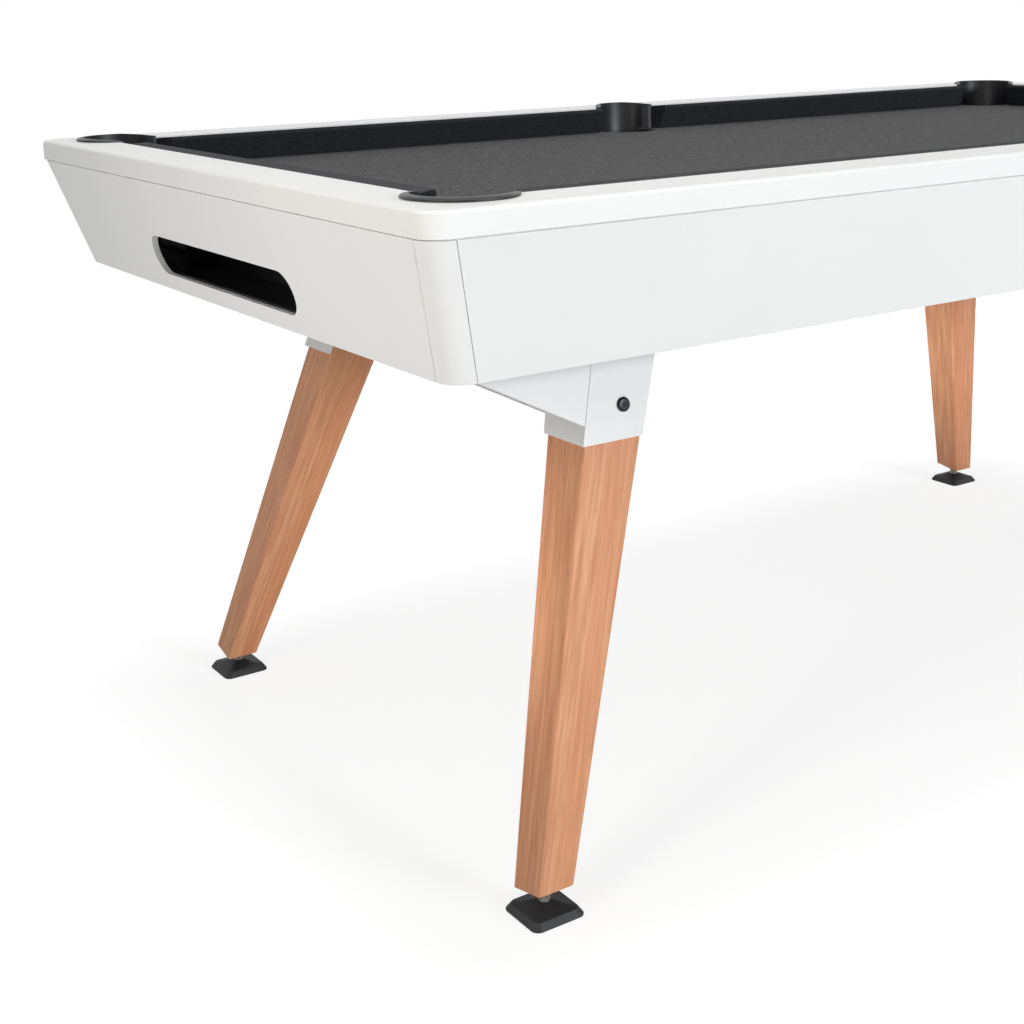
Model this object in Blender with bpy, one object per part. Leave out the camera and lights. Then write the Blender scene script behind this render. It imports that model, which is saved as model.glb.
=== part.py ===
"""Outdoor pool table, modelled in metres with +Z up.

The origin is on the floor under the table's centre. X runs along the table, and the ball-return end
is at -X. Y runs across it. Left and right are as seen from the ball-return end, looking along +X.
"""
import math

import bmesh
import bpy
from mathutils import Matrix, Vector

# Overall size and the gap that touching pieces keep
TABLE_LENGTH = 2.040
TABLE_WIDTH = 1.146
TABLE_HEIGHT = 0.834
SEAT_GAP = 0.0003

# Rail frame: its visible edge stands out over a lower block that rests on the slab
RAIL_WIDTH = 0.073
RAIL_EDGE_HEIGHT = 0.027
RAIL_CORNER_RADIUS = 0.030
RAIL_EDGE_ROUND = 0.004
RAIL_BLOCK_INSET = 0.020
RAIL_BLOCK_RADIUS = 0.012

# Playing field
CUSHION_DEPTH = 0.034
CUSHION_NOSE_HEIGHT = 0.0365
CUSHION_BASE_DEPTH = 0.018
CUSHION_BACK_DROP = 0.0028
CUSHION_NOSE_ROUND = 0.002
CUSHION_LIP_DROP = 0.0006
CLOTH_BELOW_RAIL = 0.042
CLOTH_THICKNESS = 0.0012
CLOTH_EDGE_GAP = 0.0006
SLAB_THICKNESS = 0.019
SLAB_EDGE_INSET = 0.0228
SLAB_CORNER_RADIUS = 0.020
CORNER_JAW = 0.012
MIDDLE_JAW = 0.008

# Pockets: inset of the centre from the rail's outside, cut radius and the rounding at the mouth
CORNER_POCKET_INSET = 0.092
CORNER_POCKET_RADIUS = 0.0545
MIDDLE_POCKET_INSET = 0.082
MIDDLE_POCKET_RADIUS = 0.0505
POCKET_MOUTH_ROUND = 0.014
LINER_WALL = 0.003
LINER_RIM_WIDTH = 0.0065
LINER_RIM_HEIGHT = 0.0042
LINER_RIM_END_SHARE = 0.1
LINER_TUBE_STEP = 0.0006
LINER_TUBE_WALL = 0.0018
LINER_JOIN_DEPTH = 0.006
LINER_TUBE_BELOW_SLAB = 0.015

# Aprons and corner pieces, leaning inwards to the bottom, with a groove under the rail
APRON_REVEAL = 0.0015
APRON_REVEAL_DEPTH = 0.0025
APRON_TOP_INSET = 0.003
APRON_HEIGHT = 0.1494
APRON_LEAN = 0.045
APRON_THICKNESS = 0.0084
APRON_LEDGE_WIDTH = 0.008
APRON_LEDGE_THICKNESS = 0.0027
CORNER_PIECE_LEG = 0.0295
CORNER_PIECE_RADIUS = 0.028
PANEL_SEAM = 0.0008
SLOT_LENGTH = 0.424
SLOT_HEIGHT = 0.052
SLOT_CENTRE_BELOW_RAIL = 0.1296

# Bearers under the slab, made of box section
BEARER_WIDTH = 0.060
BEARER_HEIGHT = 0.050
BEARER_WALL = 0.003
BEARER_TO_GUTTER = 0.002

# Ball gutters and tray, in sheet
SHEET = 0.002
GUTTER_WALL_INSET = 0.165
GUTTER_FLANGE = 0.020
GUTTER_KNEE_DROP = 0.0225
GUTTER_FLOOR_INSET = 0.0735
GUTTER_FLOOR_WIDTH = 0.049
GUTTER_LIP_INSET = 0.043
GUTTER_LIP_RISE = 0.045
GUTTER_HIGH_DROP = 0.065
GUTTER_FALL = 0.022
GUTTER_HEAD_INSET = 0.061
TRAY_BELOW_SLOT = 0.0105
TRAY_TO_APRON = 0.003
TRAY_TO_SIDE_APRON = 0.013
TRAY_INNER_INSET = 0.144
TRAY_LIP = 0.010
TRAY_FLANGE = 0.0105

# Legs: centre and size at the insert's seat, splay from the vertical, and taper of both faces together
LEG_SEAT = 0.036
LEG_END_DROP = 0.003
LEG_END_TILT_DEGREES = 9.65
LEG_FOOT_INSET_X = 0.200
LEG_FOOT_INSET_Y = 0.141
LEG_FOOT_SIZE_X = 0.048
LEG_FOOT_SIZE_Y = 0.0535
LEG_SPLAY_X_DEGREES = 18.20
LEG_SPLAY_Y_DEGREES = 12.79
LEG_TAPER_X_DEGREES = 4.15
LEG_TAPER_Y_DEGREES = 2.75
LEG_EDGE_ROUND = 0.004

# Brackets and wedge braces
BRACKET_DROP = 0.140
BRACKET_PLATE = 0.004
BRACKET_TOP_PLATE = 0.006
BRACKET_OVERHANG = 0.0005
BRACKET_SHORT_OF_LEG = 0.0015
WEDGE_PLATE = 0.004
WEDGE_ABOVE_BRACKET = 0.022
WEDGE_TIP_INSET = 0.081
WEDGE_TIP_RISE = 0.004
WEDGE_TO_TRAY = 0.0020

# Bolts through the brackets
BOLT_ABOVE_BRACKET = 0.0385
BOLT_TO_MIDDLE = 0.005
BOLT_HEAD_RADIUS = 0.0088
BOLT_HEAD_HEIGHT = 0.0032
BOLT_HEAD_ROUND = 0.0012
BOLT_SHANK_RADIUS = 0.005
BOLT_SHANK_LENGTH = 0.046
BOLT_SOCKET_RADIUS = 0.0042
BOLT_SOCKET_DEPTH = 0.002

# Levelling feet
STUD_RADIUS = 0.005
STUD_IN_LEG = 0.039
STUD_HEX_RADIUS = 0.0075
INSERT_WALL = 0.0018
INSERT_LENGTH = 0.045
INSERT_FLANGE_RADIUS = 0.013
INSERT_FLANGE = 0.002
STUD_HOLE_EXTRA = 0.006
PAD_HALF = 0.035
PAD_CORNER_RADIUS = 0.010
PAD_LIP = 0.0015
PAD_SIDE_INSET = 0.005
PAD_SIDE_HEIGHT = 0.009
PAD_DOME_HALF = 0.017
PAD_DOME_HEIGHT = 0.0115
PAD_HUB_RADIUS = 0.0125
PAD_HEIGHT = 0.0155
PAD_SOCKET_FLOOR = 0.006

# Facets of arcs
CORNER_STEPS = 6
PAD_CORNER_STEPS = 3
POCKET_ARC_STEPS = 9
LINER_SHALLOW_STEPS = 1
MOUTH_STEPS = 3
RAIL_EDGE_STEPS = 3
LEG_EDGE_STEPS = 3
HOLE_STEPS = 32
SMALL_STEPS = 16
SLOT_END_STEPS = 12
HEX_SIDES = 6
ROUND_PROFILE = 0.5
SMOOTH_ANGLE = math.radians(32)
CUT_MARGIN = 0.02

# Turns, in radians, from a rail to the middle of a pocket that sits on one rail or between two
HALF_TURN = math.pi
QUARTER_TURN = math.pi / 2
EIGHTH_TURN = math.pi / 4

# Levels and half sizes that follow from the sizes above
HALF_LENGTH = TABLE_LENGTH / 2
HALF_WIDTH = TABLE_WIDTH / 2
CLOTH_TOP = TABLE_HEIGHT - CLOTH_BELOW_RAIL
SLAB_TOP = CLOTH_TOP - CLOTH_THICKNESS - SEAT_GAP
SLAB_BOTTOM = SLAB_TOP - SLAB_THICKNESS
RAIL_EDGE_LOW = TABLE_HEIGHT - RAIL_EDGE_HEIGHT
APRON_TOP = RAIL_EDGE_LOW - APRON_REVEAL
APRON_BOTTOM = APRON_TOP - APRON_HEIGHT
UNDER_SLAB = SLAB_BOTTOM - SEAT_GAP
BEARER_BOTTOM = UNDER_SLAB - BEARER_HEIGHT
UNDER_BEARER = BEARER_BOTTOM - SEAT_GAP
SLOT_CENTRE = TABLE_HEIGHT - SLOT_CENTRE_BELOW_RAIL
TRAY_BOTTOM = SLOT_CENTRE - SLOT_HEIGHT / 2 - TRAY_BELOW_SLOT
TRAY_LEVEL_INSET = APRON_TOP_INSET + APRON_LEAN * (APRON_TOP - TRAY_BOTTOM) / APRON_HEIGHT
TRAY_OUTER_X = TRAY_LEVEL_INSET + APRON_THICKNESS + TRAY_TO_APRON - HALF_LENGTH
TRAY_INNER_X = TRAY_INNER_INSET - HALF_LENGTH
TRAY_HALF_SPAN = HALF_WIDTH - TRAY_LEVEL_INSET - APRON_THICKNESS - TRAY_TO_SIDE_APRON
GUTTER_WALL_Y = HALF_WIDTH - GUTTER_WALL_INSET
GUTTER_FLOOR_OUTER_Y = HALF_WIDTH - GUTTER_FLOOR_INSET
GUTTER_FLOOR_INNER_Y = GUTTER_FLOOR_OUTER_Y - GUTTER_FLOOR_WIDTH
GUTTER_LIP_Y = HALF_WIDTH - GUTTER_LIP_INSET
GUTTER_HIGH_FLOOR = UNDER_SLAB - GUTTER_HIGH_DROP
GUTTER_LOW_FLOOR = GUTTER_HIGH_FLOOR - GUTTER_FALL
GUTTER_HEAD_X = HALF_LENGTH - GUTTER_HEAD_INSET
END_BEARER_POSITION = -TRAY_INNER_X - TRAY_FLANGE - SEAT_GAP - BEARER_WIDTH / 2
END_BEARER_HALF_SPAN = GUTTER_WALL_Y - GUTTER_FLANGE - BEARER_TO_GUTTER
LEG_TOP = UNDER_BEARER - BRACKET_TOP_PLATE - SEAT_GAP
LEG_SPLAY_X = math.tan(math.radians(LEG_SPLAY_X_DEGREES))
LEG_SPLAY_Y = math.tan(math.radians(LEG_SPLAY_Y_DEGREES))
LEG_TAPER_X = math.tan(math.radians(LEG_TAPER_X_DEGREES))
LEG_TAPER_Y = math.tan(math.radians(LEG_TAPER_Y_DEGREES))
LEG_END_TILT = math.tan(math.radians(LEG_END_TILT_DEGREES))
LEG_FOOT_X = HALF_LENGTH - LEG_FOOT_INSET_X
LEG_FOOT_Y = HALF_WIDTH - LEG_FOOT_INSET_Y
BRACKET_BOTTOM = APRON_BOTTOM - BRACKET_DROP
BOLT_HEIGHT = BRACKET_BOTTOM + BOLT_ABOVE_BRACKET
WEDGE_LOW = BRACKET_BOTTOM + WEDGE_ABOVE_BRACKET
WEDGE_TIP_X = HALF_LENGTH - WEDGE_TIP_INSET
WEDGE_TIP_LOW = APRON_BOTTOM + WEDGE_TIP_RISE
WEDGE_TIP_HIGH = TRAY_BOTTOM - WEDGE_TO_TRAY
WEDGE_BACK_X = -TRAY_INNER_X - WEDGE_TO_TRAY
STUD_TOP = LEG_SEAT + STUD_IN_LEG

# Corners of the table: name, side along X and side along Y
CORNERS = (
    ("return_right", -1, -1),
    ("return_left", -1, 1),
    ("head_left", 1, 1),
    ("head_right", 1, -1),
)
SIDES = (("left", 1), ("right", -1))
ENDS = (("return", -1), ("head", 1))


def clear_scene():
    """Remove every object that the scene starts with."""
    for item in list(bpy.data.objects):
        bpy.data.objects.remove(item, do_unlink=True)


def make_material(name, colour, roughness, metallic=0.0):
    """Return a Principled material with a linear base colour."""
    material = bpy.data.materials.new(name)
    material.use_nodes = True
    shader = material.node_tree.nodes["Principled BSDF"]
    shader.inputs["Base Color"].default_value = (*colour, 1.0)
    shader.inputs["Roughness"].default_value = roughness
    shader.inputs["Metallic"].default_value = metallic
    return material


def add_object(name, bm, material, origin=(0.0, 0.0, 0.0)):
    """Turn a bmesh in world coordinates into a named object with its origin at the given point."""
    bmesh.ops.recalc_face_normals(bm, faces=bm.faces)
    bmesh.ops.translate(bm, verts=bm.verts, vec=-Vector(origin))
    mesh = bpy.data.meshes.new(name)
    bm.to_mesh(mesh)
    bm.free()
    mesh.shade_smooth()
    mesh.set_sharp_from_angle(angle=SMOOTH_ANGLE)
    mesh.materials.append(material)
    item = bpy.data.objects.new(name, mesh)
    item.location = origin
    bpy.context.scene.collection.objects.link(item)
    return item


def combine(item, bm, operation):
    """Cut a hidden shape out of an object, or join it on, with a Boolean modifier."""
    label = f"{item.name}_{operation.lower()}_{len(item.modifiers)}"
    helper = add_object(label, bm, item.data.materials[0])
    helper.hide_render = True
    helper.display_type = "WIRE"
    modifier = item.modifiers.new(label, "BOOLEAN")
    modifier.operation = operation
    modifier.solver = "EXACT"
    modifier.object = helper


def make_ring(bm, points):
    """Add a closed ring of vertices."""
    return [bm.verts.new(point) for point in points]


def bridge(bm, low, high):
    """Join two rings of equal length with quads."""
    count = len(low)
    for index in range(count):
        after = (index + 1) % count
        bm.faces.new((low[index], low[after], high[after], high[index]))


def fill(bm, rings):
    """Fill the flat area between an outer ring and any rings inside it."""
    edges = []
    for ring in rings:
        for index, vert in enumerate(ring):
            after = ring[(index + 1) % len(ring)]
            edges.append(bm.edges.get((vert, after)) or bm.edges.new((vert, after)))
    bmesh.ops.triangle_fill(bm, use_beauty=True, edges=edges)


def at_height(points, height):
    """Lift plan points to a height."""
    return [(x, y, height) for x, y in points]


def prism(points, low, high):
    """Return a straight solid with the given plan outline."""
    bm = bmesh.new()
    bottom = make_ring(bm, at_height(points, low))
    top = make_ring(bm, at_height(points, high))
    bridge(bm, bottom, top)
    fill(bm, [bottom])
    fill(bm, [top])
    return bm


def box(low, high):
    """Return a box between two corners."""
    plan = [(low[0], low[1]), (high[0], low[1]), (high[0], high[1]), (low[0], high[1])]
    return prism(plan, low[2], high[2])


def loft(sections):
    """Return a solid through open-ended sections of equal point counts, with capped ends."""
    bm = bmesh.new()
    rings = [make_ring(bm, section) for section in sections]
    for first, second in zip(rings, rings[1:]):
        bridge(bm, first, second)
    bm.faces.new(rings[0])
    bm.faces.new(rings[-1])
    return bm


def turned(profile, steps, frame=None):
    """Return a solid of revolution about Z, moved by a frame.

    The profile is (radius, height) pairs. One that starts and ends on the axis is a solid body, and
    any other closes on itself round a bore.
    """
    bm = bmesh.new()
    rows = []
    for radius, height in profile:
        if radius == 0.0:
            rows.append([bm.verts.new((0.0, 0.0, height))] * steps)
            continue
        angles = (2 * math.pi * index / steps for index in range(steps))
        rows.append(make_ring(bm, [(radius * math.cos(a), radius * math.sin(a), height) for a in angles]))
    pairs = list(zip(rows, rows[1:]))
    if profile[0][0] > 0.0:
        pairs.append((rows[-1], rows[0]))
    for first, second in pairs:
        for index in range(steps):
            after = (index + 1) % steps
            corners = (first[index], first[after], second[after], second[index])
            bm.faces.new(list(dict.fromkeys(corners)))
    if frame is not None:
        bmesh.ops.transform(bm, matrix=frame, verts=bm.verts)
    return bm


def rounded_rectangle(half_x, half_y, radius, steps=CORNER_STEPS):
    """Return the plan outline of a rectangle with rounded corners, anticlockwise."""
    points = []
    for corner, (side_x, side_y) in enumerate(((1, 1), (-1, 1), (-1, -1), (1, -1))):
        for step in range(steps + 1):
            angle = (corner + step / steps) * QUARTER_TURN
            x = side_x * (half_x - radius) + radius * math.cos(angle)
            y = side_y * (half_y - radius) + radius * math.sin(angle)
            points.append((x, y))
    return points


class Pocket:
    """One pocket: its place, its cut in the rail and the path of its edge."""

    def __init__(self, name, side_x, side_y):
        self.name = name
        self.side_x = side_x
        self.side_y = side_y
        self.is_corner = side_x != 0
        self.inset = CORNER_POCKET_INSET if self.is_corner else MIDDLE_POCKET_INSET
        self.radius = CORNER_POCKET_RADIUS if self.is_corner else MIDDLE_POCKET_RADIUS

    @property
    def centre(self):
        """Plan position of the pocket's axis."""
        return (self.side_x * (HALF_LENGTH - self.inset), self.side_y * (HALF_WIDTH - self.inset))

    @property
    def mouth_centre(self):
        """Centre of the mouth's rounding, as a distance along the rail and an inset."""
        inset = RAIL_WIDTH - POCKET_MOUTH_ROUND
        reach = self.radius + POCKET_MOUTH_ROUND
        return (math.sqrt(reach ** 2 - (self.inset - inset) ** 2), inset)

    @property
    def mouth_reach(self):
        """Distance along the rail from the pocket's axis to the straight rail."""
        return self.mouth_centre[0]

    def half_edge(self):
        """Return (along, inset, normal along, normal inset, in hole, rim) from straight rail to mid-arc.

        The rim is the share of its full width and height that the liner's rim has there.
        """
        along, inset = self.mouth_centre
        turn = math.atan2(self.inset - inset, -along)
        points = []
        for step in range(MOUTH_STEPS):
            angle = QUARTER_TURN + (turn - QUARTER_TURN) * step / MOUTH_STEPS
            out = (math.cos(angle), math.sin(angle))
            rim = LINER_RIM_END_SHARE + (1 - LINER_RIM_END_SHARE) * step / MOUTH_STEPS
            points.append((along + POCKET_MOUTH_ROUND * out[0], inset + POCKET_MOUTH_ROUND * out[1],
                           -out[0], -out[1], False, rim))
        start = turn - HALF_TURN
        end = -QUARTER_TURN - EIGHTH_TURN if self.is_corner else -QUARTER_TURN
        for step in range(POCKET_ARC_STEPS + 1):
            angle = start + (end - start) * step / POCKET_ARC_STEPS
            out = (math.cos(angle), math.sin(angle))
            deep = step > LINER_SHALLOW_STEPS
            points.append((self.radius * out[0], self.inset + self.radius * out[1], *out, deep, 1.0))
        return points

    def edge(self):
        """Return the cut's edge as (point, normal into the rail, in hole, rim), anticlockwise."""
        half = self.half_edge()
        on_long_rail = []
        on_other = []
        for along, inset, n_along, n_inset, *liner in half:
            y = self.side_y * (HALF_WIDTH - inset)
            n_y = -self.side_y * n_inset
            if self.is_corner:
                x = self.side_x * (HALF_LENGTH - self.inset - along)
                on_long_rail.append(((x, y), (-self.side_x * n_along, n_y), *liner))
                end_x = self.side_x * (HALF_LENGTH - inset)
                end_y = self.side_y * (HALF_WIDTH - self.inset - along)
                normal = (-self.side_x * n_inset, -self.side_y * n_along)
                on_other.append(((end_x, end_y), normal, *liner))
            else:
                on_long_rail.append(((along, y), (n_along, n_y), *liner))
                on_other.append(((-along, y), (-n_along, n_y), *liner))
        path = on_long_rail + on_other[-2::-1]
        starts_on_long_rail = self.side_x * self.side_y < 0 or (not self.is_corner and self.side_y > 0)
        return path if starts_on_long_rail else path[::-1]

    def cloth_edge(self):
        """Return the cloth's edge round the hole, on the field's side, anticlockwise."""
        radius = self.radius + CLOTH_EDGE_GAP
        low = math.asin((self.inset - RAIL_WIDTH - CLOTH_EDGE_GAP) / radius)
        towards_field = math.atan2(-self.side_y, -self.side_x)
        spread = low + (EIGHTH_TURN if self.is_corner else QUARTER_TURN)
        points = []
        for step in range(2 * POCKET_ARC_STEPS + 1):
            angle = towards_field + spread * (1 - step / POCKET_ARC_STEPS)
            points.append((self.centre[0] + radius * math.cos(angle),
                           self.centre[1] + radius * math.sin(angle)))
        return points


# Pockets in order round the table, anticlockwise from the corner at +X and +Y
POCKETS = (
    Pocket("head_left", 1, 1),
    Pocket("middle_left", 0, 1),
    Pocket("return_left", -1, 1),
    Pocket("return_right", -1, -1),
    Pocket("middle_right", 0, -1),
    Pocket("head_right", 1, -1),
)


def build_rail(paint):
    """Rail ring: rounded visible edge, lower block and the inside edge with six pocket cut-outs."""
    levels = [(RAIL_BLOCK_INSET, RAIL_BLOCK_RADIUS, SLAB_TOP + SEAT_GAP)]
    levels.append((RAIL_BLOCK_INSET, RAIL_BLOCK_RADIUS, RAIL_EDGE_LOW))
    levels.append((0.0, RAIL_CORNER_RADIUS, RAIL_EDGE_LOW))
    for step in range(RAIL_EDGE_STEPS + 1):
        angle = QUARTER_TURN * step / RAIL_EDGE_STEPS
        inset = RAIL_EDGE_ROUND * (1 - math.cos(angle))
        height = TABLE_HEIGHT - RAIL_EDGE_ROUND * (1 - math.sin(angle))
        levels.append((inset, RAIL_CORNER_RADIUS - inset, height))
    bm = bmesh.new()
    outer = []
    for inset, radius, height in levels:
        plan = rounded_rectangle(HALF_LENGTH - inset, HALF_WIDTH - inset, radius)
        outer.append(make_ring(bm, at_height(plan, height)))
    for low, high in zip(outer, outer[1:]):
        bridge(bm, low, high)
    inside = [point for pocket in POCKETS for point, *_ in pocket.edge()]
    inner_low = make_ring(bm, at_height(inside, SLAB_TOP + SEAT_GAP))
    inner_high = make_ring(bm, at_height(inside, TABLE_HEIGHT))
    bridge(bm, inner_high, inner_low)
    fill(bm, [outer[0], inner_low])
    fill(bm, [outer[-1], inner_high])
    add_object("rail_frame", bm, paint)


def build_slab(stone):
    """Bed slab with a hole for each pocket liner."""
    plan = rounded_rectangle(HALF_LENGTH - SLAB_EDGE_INSET, HALF_WIDTH - SLAB_EDGE_INSET,
                             SLAB_CORNER_RADIUS)
    outlines = [plan]
    for pocket in POCKETS:
        angles = (2 * math.pi * step / HOLE_STEPS for step in range(HOLE_STEPS))
        outlines.append([(pocket.centre[0] + pocket.radius * math.cos(a),
                          pocket.centre[1] + pocket.radius * math.sin(a)) for a in angles])
    bm = bmesh.new()
    low = [make_ring(bm, at_height(outline, SLAB_BOTTOM)) for outline in outlines]
    high = [make_ring(bm, at_height(outline, SLAB_TOP)) for outline in outlines]
    for bottom, top in zip(low, high):
        bridge(bm, bottom, top)
    fill(bm, low)
    fill(bm, high)
    add_object("bed_slab", bm, stone)


def build_cloth(cloth):
    """Bed cloth, stretched over the slab up to the rail and round the pocket holes."""
    plan = [point for pocket in POCKETS for point in pocket.cloth_edge()]
    add_object("bed_cloth", prism(plan, SLAB_TOP + SEAT_GAP, CLOTH_TOP), cloth)


def cushion_section():
    """Return the cushion's section as (depth from the rail, height)."""
    low = CLOTH_TOP + SEAT_GAP
    nose = CLOTH_TOP + CUSHION_NOSE_HEIGHT
    back = TABLE_HEIGHT - CUSHION_BACK_DROP
    lip = TABLE_HEIGHT - CUSHION_LIP_DROP
    return [
        (SEAT_GAP, low),
        (CUSHION_BASE_DEPTH, low),
        (CUSHION_DEPTH - CUSHION_NOSE_ROUND / 2, nose - CUSHION_NOSE_ROUND),
        (CUSHION_DEPTH, nose),
        (CUSHION_DEPTH - CUSHION_NOSE_ROUND, lip),
        (SEAT_GAP, back),
    ]


def build_cushions(cloth):
    """Six cushions, each cut back at its ends to make the pockets' jaws."""
    corner = POCKETS[0]
    middle = POCKETS[1]
    corner_back = corner.inset + corner.mouth_reach + CLOTH_EDGE_GAP
    middle_back = middle.mouth_reach + CLOTH_EDGE_GAP
    section = cushion_section()

    def ends(start, start_jaw, end, end_jaw):
        """Return both end sections as (along, depth, height)."""
        first = [(start + start_jaw * depth / CUSHION_DEPTH, depth, z) for depth, z in section]
        last = [(end - end_jaw * depth / CUSHION_DEPTH, depth, z) for depth, z in section]
        return first, last

    for side_name, side_y in SIDES:
        for end_name, side_x in ENDS:
            rows = ends(middle_back, MIDDLE_JAW, HALF_LENGTH - corner_back, CORNER_JAW)
            placed = [[(side_x * along, side_y * (HALF_WIDTH - RAIL_WIDTH - depth), z)
                       for along, depth, z in row] for row in rows]
            add_object(f"cushion_{side_name}_{end_name}", loft(placed), cloth)
    for end_name, side_x in ENDS:
        reach = HALF_WIDTH - corner_back
        rows = ends(-reach, CORNER_JAW, reach, CORNER_JAW)
        placed = [[(side_x * (HALF_LENGTH - RAIL_WIDTH - depth), along, z)
                   for along, depth, z in row] for row in rows]
        add_object(f"cushion_{end_name}_end", loft(placed), cloth)


def build_liners(plastic):
    """Pocket liners: a collar that lines the rail's cut, with a rim on top, and a tube below."""
    for pocket in POCKETS:
        sections = []
        for point, normal, deep, rim in pocket.edge():
            low = SLAB_TOP - LINER_JOIN_DEPTH if deep else CLOTH_TOP + SEAT_GAP
            rim_low = TABLE_HEIGHT + SEAT_GAP
            rim_high = rim_low + LINER_RIM_HEIGHT * rim
            rim_width = LINER_RIM_WIDTH * rim
            section = [
                (-SEAT_GAP - LINER_WALL, low),
                (-SEAT_GAP - LINER_WALL, (rim_low + rim_high) / 2),
                (-SEAT_GAP - LINER_WALL / 2, rim_high),
                (rim_width / 2, rim_high),
                (rim_width, rim_low),
                (-SEAT_GAP, rim_low),
                (-SEAT_GAP, low),
            ]
            sections.append([(point[0] + normal[0] * out, point[1] + normal[1] * out, z)
                             for out, z in section])
        item = add_object(f"pocket_{pocket.name}", loft(sections), plastic)
        outside = pocket.radius - SEAT_GAP - LINER_TUBE_STEP
        inside = outside - LINER_TUBE_WALL
        low = SLAB_BOTTOM - LINER_TUBE_BELOW_SLAB
        high = SLAB_TOP - LINER_TUBE_STEP
        profile = [(outside, low), (outside, high), (inside, high), (inside, low)]
        place = Matrix.Translation((*pocket.centre, 0.0))
        combine(item, turned(profile, HOLE_STEPS, place), "UNION")


def apron_inset(height):
    """Inset of the aprons' outer face from the table's outside at a height."""
    return APRON_TOP_INSET + APRON_LEAN * (APRON_TOP - height) / APRON_HEIGHT


def apron_section():
    """Return the panel's section as (depth behind the outer face, height), with ledge and tongue."""
    ledge_high = UNDER_SLAB
    ledge_low = ledge_high - APRON_LEDGE_THICKNESS
    ledge = APRON_THICKNESS + APRON_LEDGE_WIDTH
    tongue_high = RAIL_EDGE_LOW - SEAT_GAP
    return [
        (0.0, APRON_TOP),
        (0.0, APRON_BOTTOM),
        (APRON_THICKNESS, APRON_BOTTOM),
        (APRON_THICKNESS, ledge_low),
        (ledge, ledge_low),
        (ledge, ledge_high),
        (APRON_THICKNESS, ledge_high),
        (APRON_THICKNESS, tongue_high),
        (APRON_REVEAL_DEPTH, tongue_high),
        (APRON_REVEAL_DEPTH, APRON_TOP),
    ]


def build_aprons(paint):
    """Four leaning panels. The return end's panel has the ball-return slot."""
    section = apron_section()
    seam = CORNER_PIECE_LEG + PANEL_SEAM / 2
    for side_name, side_y in SIDES:
        rows = [[(end * (HALF_LENGTH - apron_inset(z) - seam),
                  side_y * (HALF_WIDTH - apron_inset(z) - depth), z)
                 for depth, z in section] for end in (-1, 1)]
        add_object(f"apron_{side_name}", loft(rows), paint)
    for end_name, side_x in ENDS:
        rows = [[(side_x * (HALF_LENGTH - apron_inset(z) - depth),
                  end * (HALF_WIDTH - apron_inset(z) - seam), z)
                 for depth, z in section] for end in (-1, 1)]
        item = add_object(f"apron_{end_name}_end", loft(rows), paint)
        if end_name == "return":
            combine(item, slot_cutter(), "DIFFERENCE")


def slot_cutter():
    """Round-ended bar that cuts the ball-return slot through the end panel."""
    radius = SLOT_HEIGHT / 2
    reach = SLOT_LENGTH / 2 - radius
    outline = []
    for side in (1, -1):
        for step in range(SLOT_END_STEPS + 1):
            angle = HALF_TURN * step / SLOT_END_STEPS - QUARTER_TURN * side
            outline.append((side * reach + radius * math.cos(angle),
                            SLOT_CENTRE + radius * math.sin(angle)))
    outer = -HALF_LENGTH - CUT_MARGIN
    inner = -HALF_LENGTH + APRON_TOP_INSET + APRON_LEAN + APRON_THICKNESS + CUT_MARGIN
    return loft([[(x, y, z) for y, z in outline] for x in (outer, inner)])


def build_corner_pieces(paint):
    """Rounded corner pieces between the aprons, with the same section."""
    section = apron_section()
    seam = CORNER_PIECE_LEG - PANEL_SEAM / 2
    radius = CORNER_PIECE_RADIUS
    for name, side_x, side_y in CORNERS:
        rows = [[(HALF_LENGTH - apron_inset(z) - depth, HALF_WIDTH - apron_inset(z) - seam, z)
                 for depth, z in section]]
        for step in range(CORNER_STEPS + 1):
            angle = QUARTER_TURN * step / CORNER_STEPS
            rows.append([(HALF_LENGTH - apron_inset(z) - radius + (radius - depth) * math.cos(angle),
                          HALF_WIDTH - apron_inset(z) - radius + (radius - depth) * math.sin(angle), z)
                         for depth, z in section])
        rows.append([(HALF_LENGTH - apron_inset(z) - seam, HALF_WIDTH - apron_inset(z) - depth, z)
                     for depth, z in section])
        placed = [[(side_x * x, side_y * y, z) for x, y, z in row] for row in rows]
        add_object(f"corner_{name}", loft(placed), paint)


def box_section(name, start, end, metal):
    """Box-section bearer from one plan point to another, open at both ends."""
    along = (Vector(end) - Vector(start)).normalized()
    across = Vector((-along.y, along.x))
    bm = bmesh.new()
    rows = []
    for point in (start, end):
        rings = []
        for inset in (0.0, BEARER_WALL):
            half = BEARER_WIDTH / 2 - inset
            low = BEARER_BOTTOM + inset
            high = UNDER_SLAB - inset
            corners = ((-half, low), (half, low), (half, high), (-half, high))
            rings.append(make_ring(bm, [(point[0] + across.x * side, point[1] + across.y * side, z)
                                        for side, z in corners]))
        rows.append(rings)
    bridge(bm, rows[0][0], rows[1][0])
    bridge(bm, rows[0][1], rows[1][1])
    bridge(bm, rows[0][0], rows[0][1])
    bridge(bm, rows[1][0], rows[1][1])
    add_object(name, bm, metal)


def build_bearers(metal):
    """Bearers that carry the slab and take the brackets."""
    long_y = leg_centre(LEG_TOP)[1]
    long_x = END_BEARER_POSITION - BEARER_WIDTH / 2 - SEAT_GAP
    middle_y = long_y - BEARER_WIDTH / 2 - SEAT_GAP
    for side_name, side_y in SIDES:
        box_section(f"bearer_{side_name}", (-long_x, side_y * long_y), (long_x, side_y * long_y), metal)
    for end_name, side_x in ENDS:
        x = side_x * END_BEARER_POSITION
        box_section(f"bearer_{end_name}_end", (x, -END_BEARER_HALF_SPAN), (x, END_BEARER_HALF_SPAN), metal)
    box_section("bearer_middle", (0.0, -middle_y), (0.0, middle_y), metal)


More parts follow.
